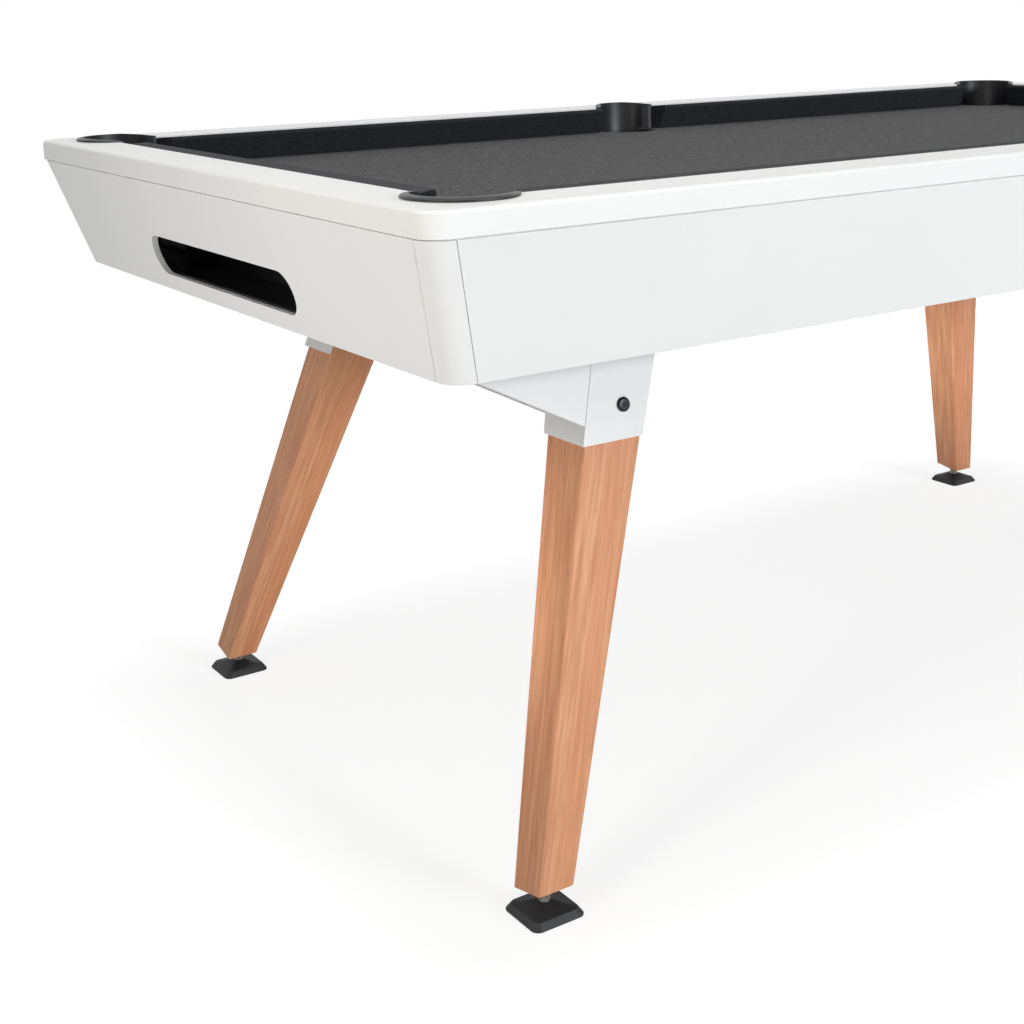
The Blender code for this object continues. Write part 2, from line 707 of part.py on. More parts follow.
def gutter_section(floor):
    """Return the gutter's section as (distance from the centre line, height) for a floor height."""
    knee = UNDER_SLAB - GUTTER_KNEE_DROP
    lip = floor + GUTTER_LIP_RISE
    return [
        (GUTTER_WALL_Y - GUTTER_FLANGE, UNDER_SLAB),
        (GUTTER_WALL_Y + SHEET, UNDER_SLAB),
        (GUTTER_WALL_Y + SHEET, knee + SHEET / 2),
        (GUTTER_FLOOR_INNER_Y + SHEET / 2, floor + SHEET),
        (GUTTER_FLOOR_OUTER_Y - SHEET / 2, floor + SHEET),
        (GUTTER_LIP_Y - SHEET, lip),
        (GUTTER_LIP_Y, lip),
        (GUTTER_FLOOR_OUTER_Y, floor),
        (GUTTER_FLOOR_INNER_Y, floor),
        (GUTTER_WALL_Y, knee),
        (GUTTER_WALL_Y, UNDER_SLAB - SHEET),
        (GUTTER_WALL_Y - GUTTER_FLANGE, UNDER_SLAB - SHEET),
    ]


def build_gutters(metal):
    """Sloping troughs that carry balls from the pockets to the tray."""
    stations = ((TRAY_INNER_X + SHEET, GUTTER_LOW_FLOOR), (GUTTER_HEAD_X, GUTTER_HIGH_FLOOR))
    for side_name, side_y in SIDES:
        rows = [[(x, side_y * y, z) for y, z in gutter_section(floor)] for x, floor in stations]
        add_object(f"gutter_{side_name}", loft(rows), metal)


def build_tray(plastic):
    """Ball tray behind the slot: a shallow pan with a tall back that hangs from the slab."""
    span = TRAY_HALF_SPAN
    far = span + CUT_MARGIN
    lip = TRAY_BOTTOM + TRAY_LIP
    back = TRAY_INNER_X - SHEET
    flange = TRAY_INNER_X + TRAY_FLANGE
    block = box((TRAY_OUTER_X, -span, TRAY_BOTTOM), (flange, span, UNDER_SLAB))
    item = add_object("ball_tray", block, plastic)
    above = UNDER_SLAB + CUT_MARGIN
    below = TRAY_BOTTOM - CUT_MARGIN
    outside = TRAY_OUTER_X - CUT_MARGIN
    beyond = flange + CUT_MARGIN
    cavity = box((TRAY_OUTER_X + SHEET, SHEET - span, TRAY_BOTTOM + SHEET), (back, span - SHEET, above))
    combine(item, cavity, "DIFFERENCE")
    combine(item, box((outside, -far, lip), (back, far, above)), "DIFFERENCE")
    combine(item, box((TRAY_INNER_X, -far, below), (beyond, far, UNDER_SLAB - SHEET)), "DIFFERENCE")
    for side in (-1, 1):
        start, end = sorted((side * END_BEARER_HALF_SPAN, side * far))
        combine(item, box((back - SHEET, start, lip), (beyond, end, above)), "DIFFERENCE")


def leg_centre(height):
    """Centre of the leg's section at a height, in the table's first quarter."""
    rise = height - LEG_SEAT
    return (LEG_FOOT_X - LEG_SPLAY_X * rise, LEG_FOOT_Y - LEG_SPLAY_Y * rise)


def leg_faces(height):
    """Return the leg's inner and outer X and inner and outer Y at a height."""
    x, y = leg_centre(height)
    rise = height - LEG_SEAT
    half_x = (LEG_FOOT_SIZE_X + LEG_TAPER_X * rise) / 2
    half_y = (LEG_FOOT_SIZE_Y + LEG_TAPER_Y * rise) / 2
    return (x - half_x, x + half_x, y - half_y, y + half_y)


def leg_row(inner_height, outer_height):
    """Return the leg's four corners, at one height on its inner Y face and another on the outer."""
    x_in, x_out, y_in, _ = leg_faces(inner_height)
    row = [(x_in, y_in, inner_height), (x_out, y_in, inner_height)]
    x_in, x_out, _, y_out = leg_faces(outer_height)
    return row + [(x_out, y_out, outer_height), (x_in, y_out, outer_height)]


def leg_block(low, high, grow_x_in, grow_x_out, grow_y_in, grow_y_out):
    """Return a block between two heights whose sides follow the leg's faces, moved outwards."""
    moves = ((-grow_x_in, -grow_y_in), (grow_x_out, -grow_y_in),
             (grow_x_out, grow_y_out), (-grow_x_in, grow_y_out))
    rows = []
    for height in (low, high):
        corners = zip(leg_row(height, height), moves)
        rows.append([(x + move_x, y + move_y, z) for (x, y, z), (move_x, move_y) in corners])
    return loft(rows)


def mirrored(bm, side_x, side_y):
    """Move a shape from the table's first quarter to another quarter."""
    bmesh.ops.scale(bm, vec=(side_x, side_y, 1.0), verts=bm.verts)
    return bm


def bolt_frame():
    """Frame of the bolt: its seat on the bracket's side plate, with Z along the outward normal."""
    slope = LEG_SPLAY_Y - LEG_TAPER_Y / 2
    outward = Vector((0.0, 1.0, slope)).normalized()
    x = leg_centre(BOLT_HEIGHT)[0] - BOLT_TO_MIDDLE
    seat = Vector((x, leg_faces(BOLT_HEIGHT)[3], BOLT_HEIGHT))
    seat += outward * (SEAT_GAP + BRACKET_PLATE)
    turn = Vector((0.0, 0.0, 1.0)).rotation_difference(outward).to_matrix().to_4x4()
    return Matrix.Translation(seat) @ turn


def cylinder(radius, low, high, frame):
    """Plain cylinder, which drills a hole or makes a shank."""
    return turned([(0.0, low), (radius, low), (radius, high), (0.0, high)], SMALL_STEPS, frame)


def wedge_outline():
    """Return the wedge's side view as (X, height), from the bracket up to the end of the table."""
    grow = SEAT_GAP + BRACKET_PLATE + SEAT_GAP
    low_x = leg_faces(WEDGE_LOW)[1] + grow
    high_x = leg_faces(UNDER_BEARER)[1] + grow
    return [
        (low_x, WEDGE_LOW),
        (WEDGE_TIP_X, WEDGE_TIP_LOW),
        (WEDGE_TIP_X, WEDGE_TIP_HIGH),
        (WEDGE_BACK_X, WEDGE_TIP_HIGH),
        (WEDGE_BACK_X, UNDER_BEARER),
        (high_x, UNDER_BEARER),
    ]


def wedge_side(height, inner):
    """Y of the wedge's inner or outer face at a height."""
    faces = leg_faces(height)
    return faces[2] - BRACKET_OVERHANG if inner else faces[3] + SEAT_GAP + BRACKET_PLATE


def build_wedge(name, side_x, side_y, paint):
    """Brace with two cheeks and a top web, open underneath."""
    outline = wedge_outline()
    rows = [[(x, wedge_side(z, inner), z) for x, z in outline] for inner in (True, False)]
    item = add_object(f"wedge_{name}", mirrored(loft(rows), side_x, side_y), paint)
    near_x = outline[-1][0] - CUT_MARGIN
    far_x = WEDGE_TIP_X + CUT_MARGIN
    low = WEDGE_LOW - CUT_MARGIN
    high = UNDER_BEARER - WEDGE_PLATE
    hollow = []
    for height in (low, high):
        inside = wedge_side(height, True) + WEDGE_PLATE
        outside = wedge_side(height, False) - WEDGE_PLATE
        hollow.append([(near_x, inside, height), (far_x, inside, height),
                       (far_x, outside, height), (near_x, outside, height)])
    combine(item, mirrored(loft(hollow), side_x, side_y), "DIFFERENCE")


def build_bracket(name, side_x, side_y, paint):
    """Angle bracket over the leg's two outer faces, with a top plate under the bearer."""
    skin = SEAT_GAP + BRACKET_PLATE
    block = leg_block(BRACKET_BOTTOM, UNDER_BEARER, -BRACKET_SHORT_OF_LEG, skin, BRACKET_OVERHANG, skin)
    item = add_object(f"bracket_{name}", mirrored(block, side_x, side_y), paint)
    top = UNDER_BEARER - BRACKET_TOP_PLATE
    room = leg_block(BRACKET_BOTTOM - CUT_MARGIN, top, CUT_MARGIN, SEAT_GAP, CUT_MARGIN, SEAT_GAP)
    combine(item, mirrored(room, side_x, side_y), "DIFFERENCE")
    hole = cylinder(BOLT_SHANK_RADIUS + SEAT_GAP, -2 * skin, skin, bolt_frame())
    combine(item, mirrored(hole, side_x, side_y), "DIFFERENCE")


def build_leg(name, side_x, side_y, wood):
    """Tapered, splayed wooden leg with a tilted end, drilled for its bolt and for the foot's insert."""
    end = LEG_SEAT - LEG_END_DROP
    tilt = LEG_END_TILT * LEG_FOOT_SIZE_Y / 2
    leg = loft([leg_row(end - tilt, end + tilt), leg_row(LEG_TOP, LEG_TOP)])
    long_edges = [edge for edge in leg.edges if abs(edge.verts[0].co.z - edge.verts[1].co.z) > LEG_SEAT]
    bmesh.ops.bevel(leg, geom=long_edges, offset=LEG_EDGE_ROUND, segments=LEG_EDGE_STEPS,
                    profile=ROUND_PROFILE, affect="EDGES")
    item = add_object(f"leg_{name}", mirrored(leg, side_x, side_y), wood)
    bolt_depth = BOLT_SHANK_LENGTH + SEAT_GAP
    hole = cylinder(BOLT_SHANK_RADIUS + SEAT_GAP, -bolt_depth, BRACKET_PLATE, bolt_frame())
    combine(item, mirrored(hole, side_x, side_y), "DIFFERENCE")
    radius = STUD_RADIUS + SEAT_GAP + INSERT_WALL + SEAT_GAP
    frame = Matrix.Translation((LEG_FOOT_X, LEG_FOOT_Y, LEG_SEAT))
    drill = cylinder(radius, -CUT_MARGIN, INSERT_LENGTH + STUD_HOLE_EXTRA, frame)
    combine(item, mirrored(drill, side_x, side_y), "DIFFERENCE")
    recess = cylinder(INSERT_FLANGE_RADIUS + SEAT_GAP, -CUT_MARGIN, 0.0, frame)
    combine(item, mirrored(recess, side_x, side_y), "DIFFERENCE")


def build_bolt(name, side_x, side_y, metal):
    """Round-headed bolt with a hexagonal socket."""
    head = BOLT_HEAD_HEIGHT + SEAT_GAP
    profile = [
        (0.0, -BOLT_SHANK_LENGTH),
        (BOLT_SHANK_RADIUS, -BOLT_SHANK_LENGTH),
        (BOLT_SHANK_RADIUS, SEAT_GAP),
        (BOLT_HEAD_RADIUS, SEAT_GAP),
        (BOLT_HEAD_RADIUS, head - BOLT_HEAD_ROUND),
        (BOLT_HEAD_RADIUS - BOLT_HEAD_ROUND, head),
        (0.0, head),
    ]
    frame = bolt_frame()
    item = add_object(f"bolt_{name}", mirrored(turned(profile, SMALL_STEPS, frame), side_x, side_y), metal)
    floor = head - BOLT_SOCKET_DEPTH
    mouth = head + BOLT_SOCKET_DEPTH
    outline = [(0.0, floor), (BOLT_SOCKET_RADIUS, floor), (BOLT_SOCKET_RADIUS, mouth), (0.0, mouth)]
    combine(item, mirrored(turned(outline, HEX_SIDES, frame), side_x, side_y), "DIFFERENCE")


def build_foot(name, side_x, side_y, steel, rubber):
    """Levelling foot: insert in the leg, stud with a hexagon to turn it by, and pad on the floor."""
    axis = (side_x * LEG_FOOT_X, side_y * LEG_FOOT_Y, 0.0)
    place = Matrix.Translation(axis)
    bore = STUD_RADIUS + SEAT_GAP
    flange_low = LEG_SEAT - SEAT_GAP - INSERT_FLANGE
    sleeve = [
        (bore, flange_low),
        (INSERT_FLANGE_RADIUS, flange_low),
        (INSERT_FLANGE_RADIUS, flange_low + INSERT_FLANGE),
        (bore + INSERT_WALL, flange_low + INSERT_FLANGE),
        (bore + INSERT_WALL, LEG_SEAT + INSERT_LENGTH),
        (bore, LEG_SEAT + INSERT_LENGTH),
    ]
    add_object(f"insert_{name}", turned(sleeve, SMALL_STEPS, place), steel)
    shank = cylinder(STUD_RADIUS, PAD_SOCKET_FLOOR + SEAT_GAP, STUD_TOP, place)
    item = add_object(f"stud_{name}", shank, steel, axis)
    hex_low = PAD_HEIGHT + SEAT_GAP
    hex_high = flange_low - SEAT_GAP
    outline = [(0.0, hex_low), (STUD_HEX_RADIUS, hex_low), (STUD_HEX_RADIUS, hex_high), (0.0, hex_high)]
    combine(item, turned(outline, HEX_SIDES, place), "UNION")
    levels = (
        (PAD_HALF, PAD_CORNER_RADIUS, 0.0),
        (PAD_HALF, PAD_CORNER_RADIUS, PAD_LIP),
        (PAD_HALF - PAD_SIDE_INSET, PAD_CORNER_RADIUS - PAD_SIDE_INSET / 2, PAD_SIDE_HEIGHT),
        (PAD_DOME_HALF, PAD_HUB_RADIUS, PAD_DOME_HEIGHT),
        (PAD_HUB_RADIUS, PAD_HUB_RADIUS, PAD_HEIGHT),
    )
    rows = []
    for half, radius, height in levels:
        plan = rounded_rectangle(half, half, radius, PAD_CORNER_STEPS)
        rows.append([(axis[0] + x, axis[1] + y, height) for x, y in plan])
    item = add_object(f"pad_{name}", loft(rows), rubber, axis)
    combine(item, cylinder(bore, PAD_SOCKET_FLOOR, PAD_HEIGHT + CUT_MARGIN, place), "DIFFERENCE")


def main():
    """Build the whole table."""
    clear_scene()
    white = make_material("white_paint", (0.80, 0.80, 0.78), 0.42)
    cloth = make_material("grey_cloth", (0.085, 0.085, 0.085), 0.95)
    black = make_material("black_plastic", (0.012, 0.012, 0.013), 0.45)
    stone = make_material("slate", (0.10, 0.10, 0.105), 0.75)
    frame = make_material("bearer_metal", (0.32, 0.33, 0.34), 0.40, 0.8)
    wood = make_material("oiled_wood", (0.42, 0.20, 0.085), 0.55)
    bolt = make_material("black_steel", (0.02, 0.02, 0.022), 0.40, 0.9)
    steel = make_material("zinc_steel", (0.62, 0.62, 0.60), 0.35, 1.0)
    rubber = make_material("black_rubber", (0.015, 0.015, 0.015), 0.80)
    build_rail(white)
    build_slab(stone)
    build_cloth(cloth)
    build_cushions(cloth)
    build_liners(black)
    build_aprons(white)
    build_corner_pieces(white)
    build_bearers(frame)
    build_gutters(frame)
    build_tray(black)
    for name, side_x, side_y in CORNERS:
        build_bracket(name, side_x, side_y, white)
        build_wedge(name, side_x, side_y, white)
        build_leg(name, side_x, side_y, wood)
        build_bolt(name, side_x, side_y, bolt)
        build_foot(name, side_x, side_y, steel, rubber)


main()
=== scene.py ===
"""Looks of the outdoor pool table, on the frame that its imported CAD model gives.

Every piece is in metres and in the CAD model's own frame: X along the table with the ball-return end
at -X, Y across it, Z up from the floor. Left and right are as seen from the ball-return end.
"""
import logging
import math
from dataclasses import dataclass, field
from enum import Enum

import bmesh
import bpy
from bmesh.types import BMEdge, BMesh, BMFace, BMVert
from bpy.types import ID, Material, Mesh, Node, NodeSocket, NodeTree, Object
from mathutils import Matrix, Vector


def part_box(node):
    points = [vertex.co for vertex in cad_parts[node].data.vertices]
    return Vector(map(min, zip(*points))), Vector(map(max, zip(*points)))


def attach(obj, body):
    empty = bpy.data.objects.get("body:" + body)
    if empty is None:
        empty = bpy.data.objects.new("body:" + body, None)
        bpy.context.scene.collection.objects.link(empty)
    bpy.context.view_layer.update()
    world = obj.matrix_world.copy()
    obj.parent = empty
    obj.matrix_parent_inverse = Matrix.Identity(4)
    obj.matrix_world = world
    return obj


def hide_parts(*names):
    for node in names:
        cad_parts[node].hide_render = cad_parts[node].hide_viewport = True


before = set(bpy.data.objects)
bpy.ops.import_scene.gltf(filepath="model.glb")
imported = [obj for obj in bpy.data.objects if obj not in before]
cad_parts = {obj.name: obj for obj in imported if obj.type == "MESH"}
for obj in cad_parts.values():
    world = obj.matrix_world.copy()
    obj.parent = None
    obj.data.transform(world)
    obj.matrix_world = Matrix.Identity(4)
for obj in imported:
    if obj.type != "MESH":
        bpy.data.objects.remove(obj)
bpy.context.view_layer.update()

LOG = logging.getLogger("pool_table")
TABLE_BODY = "table"
SIDES = (("left", 1), ("right", -1))
ENDS = (("return", -1), ("head", 1))
MERGE_DISTANCE = 0.00001
# Room between a piece and what it sits on or in
SEAT_GAP = 0.0003
FLAT_ANGLE = math.radians(0.5)
EDGE_ANGLE = math.radians(38)
FLAT_FACE_WEIGHT = 80
FULL_TURN = 2 * math.pi
HEX_SIDES = 6
Z_AXIS = (0.0, 0.0, 1.0)
WHITE = (1.0, 1.0, 1.0, 1.0)
# Blender's wave texture repeats every 2 pi / 20 of its scaled coordinate
WAVE_PERIOD = math.pi / 10
# Inputs of a Mix node that mixes colours
MIX_A, MIX_B = 6, 7


class Place(Enum):
    """A place on the table, as its sides along X and Y."""

    @property
    def label(self) -> str:
        """Name of the place in the CAD nodes' names."""
        return self.name.lower()


class Corner(Place):
    """The table's four corners."""

    RETURN_RIGHT = (-1, -1)
    RETURN_LEFT = (-1, 1)
    HEAD_LEFT = (1, 1)
    HEAD_RIGHT = (1, -1)


class PocketPlace(Place):
    """The six pockets, in order round the table."""

    HEAD_LEFT = (1, 1)
    MIDDLE_LEFT = (0, 1)
    RETURN_LEFT = (-1, 1)
    RETURN_RIGHT = (-1, -1)
    MIDDLE_RIGHT = (0, -1)
    HEAD_RIGHT = (1, -1)


def colour(code: str) -> tuple[float, float, float, float]:
    """Turn an sRGB hex colour into linear RGBA.

    Args:
        code: Colour as "#RRGGBB".

    Returns:
        Linear red, green, blue and an alpha of 1.
    """
    channels = [int(code[start:start + 2], 16) / 255 for start in (1, 3, 5)]
    linear = [c / 12.92 if c <= 0.04045 else ((c + 0.055) / 1.055) ** 2.4 for c in channels]
    return (*linear, 1.0)


def set_inputs(tree: NodeTree, node: Node, inputs: dict) -> None:
    """Set a node's inputs, or link them.

    Args:
        tree: Node tree that holds the node.
        node: Node to set.
        inputs: Values, or nodes or output sockets to link, by the input's name or index. A node stands
            for its first output in use.
    """
    for key, value in inputs.items():
        if isinstance(value, Node):
            value = next(output for output in value.outputs if output.enabled)
        if isinstance(value, NodeSocket):
            tree.links.new(value, node.inputs[key])
        else:
            node.inputs[key].default_value = value


def add_node(tree: NodeTree, kind: str, inputs: dict | None = None, **settings) -> Node:
    """Add a node with its settings and links.

    Args:
        tree: Node tree that takes the node.
        kind: Blender's type name of the node, after the words ShaderNode.
        inputs: Values, or nodes or output sockets to link, by the input's name or index.
        **settings: Attributes of the node.

    Returns:
        The new node.
    """
    node = tree.nodes.new(f"ShaderNode{kind}")
    for key, value in settings.items():
        setattr(node, key, value)
    set_inputs(tree, node, inputs or {})
    return node


@dataclass(frozen=True)
class Finish:
    """A finish: one procedural material and the record's material slot that it stands for."""

    name: str = "finish"
    slot: str = ""

    def material(self) -> Material:
        """Return the finish's material, made on first use."""
        material = bpy.data.materials.get(self.name)
        if material is None:
            material = bpy.data.materials.new(self.name)
            material.use_nodes = True
            self.dress(material.node_tree, material.node_tree.nodes["Principled BSDF"])
        return material

    def dress(self, tree: NodeTree, shader: Node) -> None:
        """Add the finish's nodes; each finish has its own."""
        raise NotImplementedError


@dataclass(frozen=True)
class PowderCoat(Finish):
    """White polyester powder coat on aluminium: satin, faintly pebbled, and a little uneven in tone.

    Faces that look into the table are painted near black, as painted shade of the table's dark inside.
    """

    name: str = "powder_coated_aluminium"
    slot: str = "white_paint"
    light: str = "#ECECEB"
    shade: str = "#E6E6E5"
    # Painted shade: near black for the faces that look into the table
    inside_shade_colour: str = "#1C1D1F"
    # The pebbling is about 1 mm, and is drawn at 4 mm so that it shows
    peel: float = 0.004
    cloud: float = 0.16
    roughness: tuple[float, float] = (0.40, 0.50)

    def dress(self, tree: NodeTree, shader: Node) -> None:
        """Add tone, the painted shade on inward faces, gloss and pebbling."""
        place = add_node(tree, "TexCoord").outputs["Object"]
        peel = add_node(tree, "TexNoise", {"Vector": place, "Scale": 1 / self.peel, "Detail": 2.0})
        cloud = add_node(tree, "TexNoise", {"Vector": place, "Scale": 1 / self.cloud})
        tone = add_node(tree, "Mix", {0: cloud, MIX_A: colour(self.light), MIX_B: colour(self.shade)},
                        data_type="RGBA")
        # Faces that look into the table take the painted shade
        painted_inside_shade = add_node(tree, "Attribute", attribute_name="painted_inside_shade").outputs["Fac"]
        face = add_node(tree, "Mix", {0: painted_inside_shade, MIX_A: tone, MIX_B: colour(self.inside_shade_colour)},
                        data_type="RGBA")
        gloss = add_node(tree, "MapRange", {0: peel, "To Min": self.roughness[0],
                                            "To Max": self.roughness[1]})
        bump = add_node(tree, "Bump", {"Strength": 0.12, "Distance": 0.0004, "Height": peel})
        set_inputs(tree, shader, {"Base Color": face, "Roughness": gloss, "Normal": bump, "IOR": 1.5})


@dataclass(frozen=True)
class OutdoorCloth(Finish):
    """Dark grey plain-woven synthetic cloth: matt, with a light fleck from its crossing threads."""

    name: str = "woven_outdoor_cloth"
    slot: str = "grey_cloth"
    light: str = "#575757"
    dark: str = "#080808"
    # Threads are about 0.8 mm apart, and are drawn at 2.4 mm so that they show
    pitch: float = 0.0024
    # Flecks are about two drawn threads wide, and gather in clouds of some ten
    fleck: float = 0.0045
    cloud: float = 0.022
    weave_share: float = 0.35
    cloud_share: float = 0.30
    fleck_range: tuple[float, float] = (0.745, 0.905)

    def dress(self, tree: NodeTree, shader: Node) -> None:
        """Weave two sets of threads and fleck them."""
        thread = add_node(tree, "Attribute", attribute_name="thread").outputs["Vector"]
        over = add_node(tree, "TexChecker", {"Vector": thread, "Scale": 1 / self.pitch}).outputs[1]
        waves = [add_node(tree, "TexWave", {"Vector": thread, "Scale": WAVE_PERIOD / self.pitch},
                          bands_direction=axis).outputs[1] for axis in ("X", "Y")]
        weave = add_node(tree, "Mix", {0: over, 2: waves[0], 3: waves[1]})
        fleck = add_node(tree, "TexNoise", {"Vector": thread, "Scale": 1 / self.fleck, "Detail": 4.0})
        cloud = add_node(tree, "TexNoise", {"Vector": thread, "Scale": 1 / self.cloud})
        raised = add_node(tree, "Math", {0: weave, 1: self.weave_share, 2: fleck}, operation="MULTIPLY_ADD")
        patch = add_node(tree, "Math", {0: cloud, 1: self.cloud_share, 2: raised}, operation="MULTIPLY_ADD")
        share = add_node(tree, "MapRange", {0: patch, "From Min": self.fleck_range[0],
                                            "From Max": self.fleck_range[1]})
        tone = add_node(tree, "Mix", {0: share, MIX_A: colour(self.dark), MIX_B: colour(self.light)},
                        data_type="RGBA")
        bump = add_node(tree, "Bump", {"Strength": 0.35, "Distance": 0.0004, "Height": weave})
        set_inputs(tree, shader, {"Base Color": tone, "Normal": bump, "Roughness": 0.9,
                                  "Specular IOR Level": 0.2, "Sheen Weight": 0.04, "Sheen Roughness": 0.5})


@dataclass(frozen=True)
class Moulding(Finish):
    """Moulded polymer: one deep tone with a fine grain from the mould's spark-eroded face."""

    name: str = "moulded_abs"
    slot: str = "black_plastic"
    light: str = "#121318"
    dark: str = "#0C0D11"
    # The grain is about 0.3 mm, and is drawn at 1.5 mm so that it shows
    grain: float = 0.0015
    cloud: float = 0.05
    roughness: tuple[float, float] = (0.34, 0.46)
    relief: float = 0.10

    def dress(self, tree: NodeTree, shader: Node) -> None:
        """Add tone, gloss and mould grain."""
        place = add_node(tree, "TexCoord").outputs["Object"]
        grain = add_node(tree, "TexNoise", {"Vector": place, "Scale": 1 / self.grain, "Detail": 2.0})
        cloud = add_node(tree, "TexNoise", {"Vector": place, "Scale": 1 / self.cloud})
        tone = add_node(tree, "Mix", {0: cloud, MIX_A: colour(self.light), MIX_B: colour(self.dark)},
                        data_type="RGBA")
        gloss = add_node(tree, "MapRange", {0: cloud, "To Min": self.roughness[0],
                                            "To Max": self.roughness[1]})
        bump = add_node(tree, "Bump", {"Strength": self.relief, "Distance": 0.0003, "Height": grain})
        set_inputs(tree, shader, {"Base Color": tone, "Roughness": gloss, "Normal": bump, "IOR": 1.52})


@dataclass(frozen=True)
class OiledHardwood(Finish):
    """Oiled tropical hardwood: straight grain along the leg, fine dark pores, glued from boards."""

    name: str = "oiled_hardwood"
    slot: str = "oiled_wood"
    light: str = "#DEA37A"
    dark: str = "#C38056"
    pore: str = "#935531"
    board_tone: str = "#D0885C"
    figure: float = 0.005
    # Pores are about 0.3 mm wide, and are drawn at 1.6 mm so that they show
    fibre: float = 0.0016
    # A board is 24 mm thick, and figure runs some twenty-five times further along the leg than across
    board: float = 0.024
    stretch: float = 0.04

    def dress(self, tree: NodeTree, shader: Node) -> None:
        """Add figure, pores, boards, gloss and a slight relief along the grain."""
        grain = add_node(tree, "Attribute", attribute_name="grain").outputs["Vector"]
        along = add_node(tree, "Mapping", {"Vector": grain, "Scale": (1.0, 1.0, self.stretch)})
        figure = add_node(tree, "TexNoise", {"Vector": along, "Scale": 1 / self.figure, "Detail": 4.0})
        fibre = add_node(tree, "TexNoise", {"Vector": along, "Scale": 1 / self.fibre, "Detail": 2.0})
        across = add_node(tree, "SeparateXYZ", {0: grain}).outputs["X"]
        count = add_node(tree, "Math", {0: across, 1: self.board}, operation="DIVIDE")
        number = add_node(tree, "Math", {0: count}, operation="FLOOR")
        draw = add_node(tree, "TexWhiteNoise", {"W": number}, noise_dimensions="1D")
        bands = add_node(tree, "MapRange", {0: figure, "From Min": 0.32, "From Max": 0.68})
        boards = add_node(tree, "MapRange", {0: draw, "To Max": 0.5})
        pores = add_node(tree, "MapRange", {0: fibre, "From Min": 0.54, "From Max": 0.78, "To Max": 0.32})
        tone = colour(self.light)
        for share, code in ((bands, self.dark), (boards, self.board_tone), (pores, self.pore)):
            tone = add_node(tree, "Mix", {0: share, MIX_A: tone, MIX_B: colour(code)},
                            data_type="RGBA")
        gloss = add_node(tree, "MapRange", {0: fibre, "To Min": 0.46, "To Max": 0.66})
        bump = add_node(tree, "Bump", {"Strength": 0.12, "Distance": 0.0004, "Height": fibre})
        set_inputs(tree, shader, {"Base Color": tone, "Roughness": gloss, "Normal": bump, "IOR": 1.5})


@dataclass(frozen=True)
class PlatedSteel(Finish):
    """Steel with a thin plating: metallic, with a soft cloudiness that scatters its highlights."""

    name: str = "zinc_plated_steel"
    slot: str = "zinc_steel"
    light: str = "#ECECE6"
    dark: str = "#D6D6D0"
    cloud: float = 0.006
    roughness: tuple[float, float] = (0.42, 0.56)

    def dress(self, tree: NodeTree, shader: Node) -> None:
        """Add tone and gloss."""
        place = add_node(tree, "TexCoord").outputs["Object"]
        cloud = add_node(tree, "TexNoise", {"Vector": place, "Scale": 1 / self.cloud, "Detail": 3.0})
        tone = add_node(tree, "Mix", {0: cloud, MIX_A: colour(self.light), MIX_B: colour(self.dark)},
                        data_type="RGBA")
        gloss = add_node(tree, "MapRange", {0: cloud, "To Min": self.roughness[0],
                                            "To Max": self.roughness[1]})
        set_inputs(tree, shader, {"Base Color": tone, "Roughness": gloss, "Metallic": 1.0})


@dataclass(frozen=True)
class GalvanisedSteel(Finish):
    """Hot-dip galvanised steel: dull metal with large zinc crystals, drawn far darker than bare zinc as
    painted shade of the table's inside.
    """

    name: str = "galvanised_steel"
    slot: str = "bearer_metal"
    # Both tones are painted shade, far darker than bare zinc; the crystals vary between them
    light: str = "#5E6164"
    dark: str = "#484B4E"
    spangle: float = 0.014

    def dress(self, tree: NodeTree, shader: Node) -> None:
        """Add crystals of differing tone and gloss."""
        place = add_node(tree, "TexCoord").outputs["Object"]
        crystal = add_node(tree, "TexVoronoi", {"Vector": place, "Scale": 1 / self.spangle})
        draws = add_node(tree, "SeparateColor", {0: crystal.outputs["Color"]}).outputs
        tone = add_node(tree, "Mix", {0: draws[0], MIX_A: colour(self.light), MIX_B: colour(self.dark)},
                        data_type="RGBA")
        gloss = add_node(tree, "MapRange", {0: draws[1], "To Min": 0.42, "To Max": 0.58})
        set_inputs(tree, shader, {"Base Color": tone, "Roughness": gloss, "Metallic": 0.9})


@dataclass(frozen=True)
class Slate(Finish):
    """Ground slate: blue-grey, matt, with faint cleavage streaks."""

    name: str = "ground_slate"
    slot: str = "slate"
    light: str = "#5A5D62"
    dark: str = "#42454A"
    streak: float = 0.03
    stretch: float = 0.25

    def dress(self, tree: NodeTree, shader: Node) -> None:
        """Add streaks and a rough face."""
        place = add_node(tree, "TexCoord").outputs["Object"]
        along = add_node(tree, "Mapping", {"Vector": place, "Scale": (self.stretch, 1.0, 1.0)})
        streak = add_node(tree, "TexNoise", {"Vector": along, "Scale": 1 / self.streak, "Detail": 6.0})
        tone = add_node(tree, "Mix", {0: streak, MIX_A: colour(self.dark), MIX_B: colour(self.light)},
                        data_type="RGBA")
        bump = add_node(tree, "Bump", {"Strength": 0.2, "Distance": 0.0008, "Height": streak})
        set_inputs(tree, shader, {"Base Color": tone, "Normal": bump, "Roughness": 0.75})


POWDER_COAT = PowderCoat()
CLOTH = OutdoorCloth()
CUSHION_CLOTH = OutdoorCloth(name="woven_cushion_cloth", slot="cushion_rubber", light="#2B2C31",
                             dark="#1C1D22")
ABS = Moulding()
RUBBER = Moulding(name="moulded_rubber", slot="black_rubber", light="#0F1014", dark="#0B0C0F",
                  grain=0.002, roughness=(0.55, 0.70), relief=0.2)
WOOD = OiledHardwood()
ZINC = PlatedSteel()
BLACK_STEEL = PlatedSteel(name="black_oxide_steel", slot="black_steel", light="#3A3B3F", dark="#2A2B2E",
                          roughness=(0.32, 0.45))
GALVANISED = GalvanisedSteel()
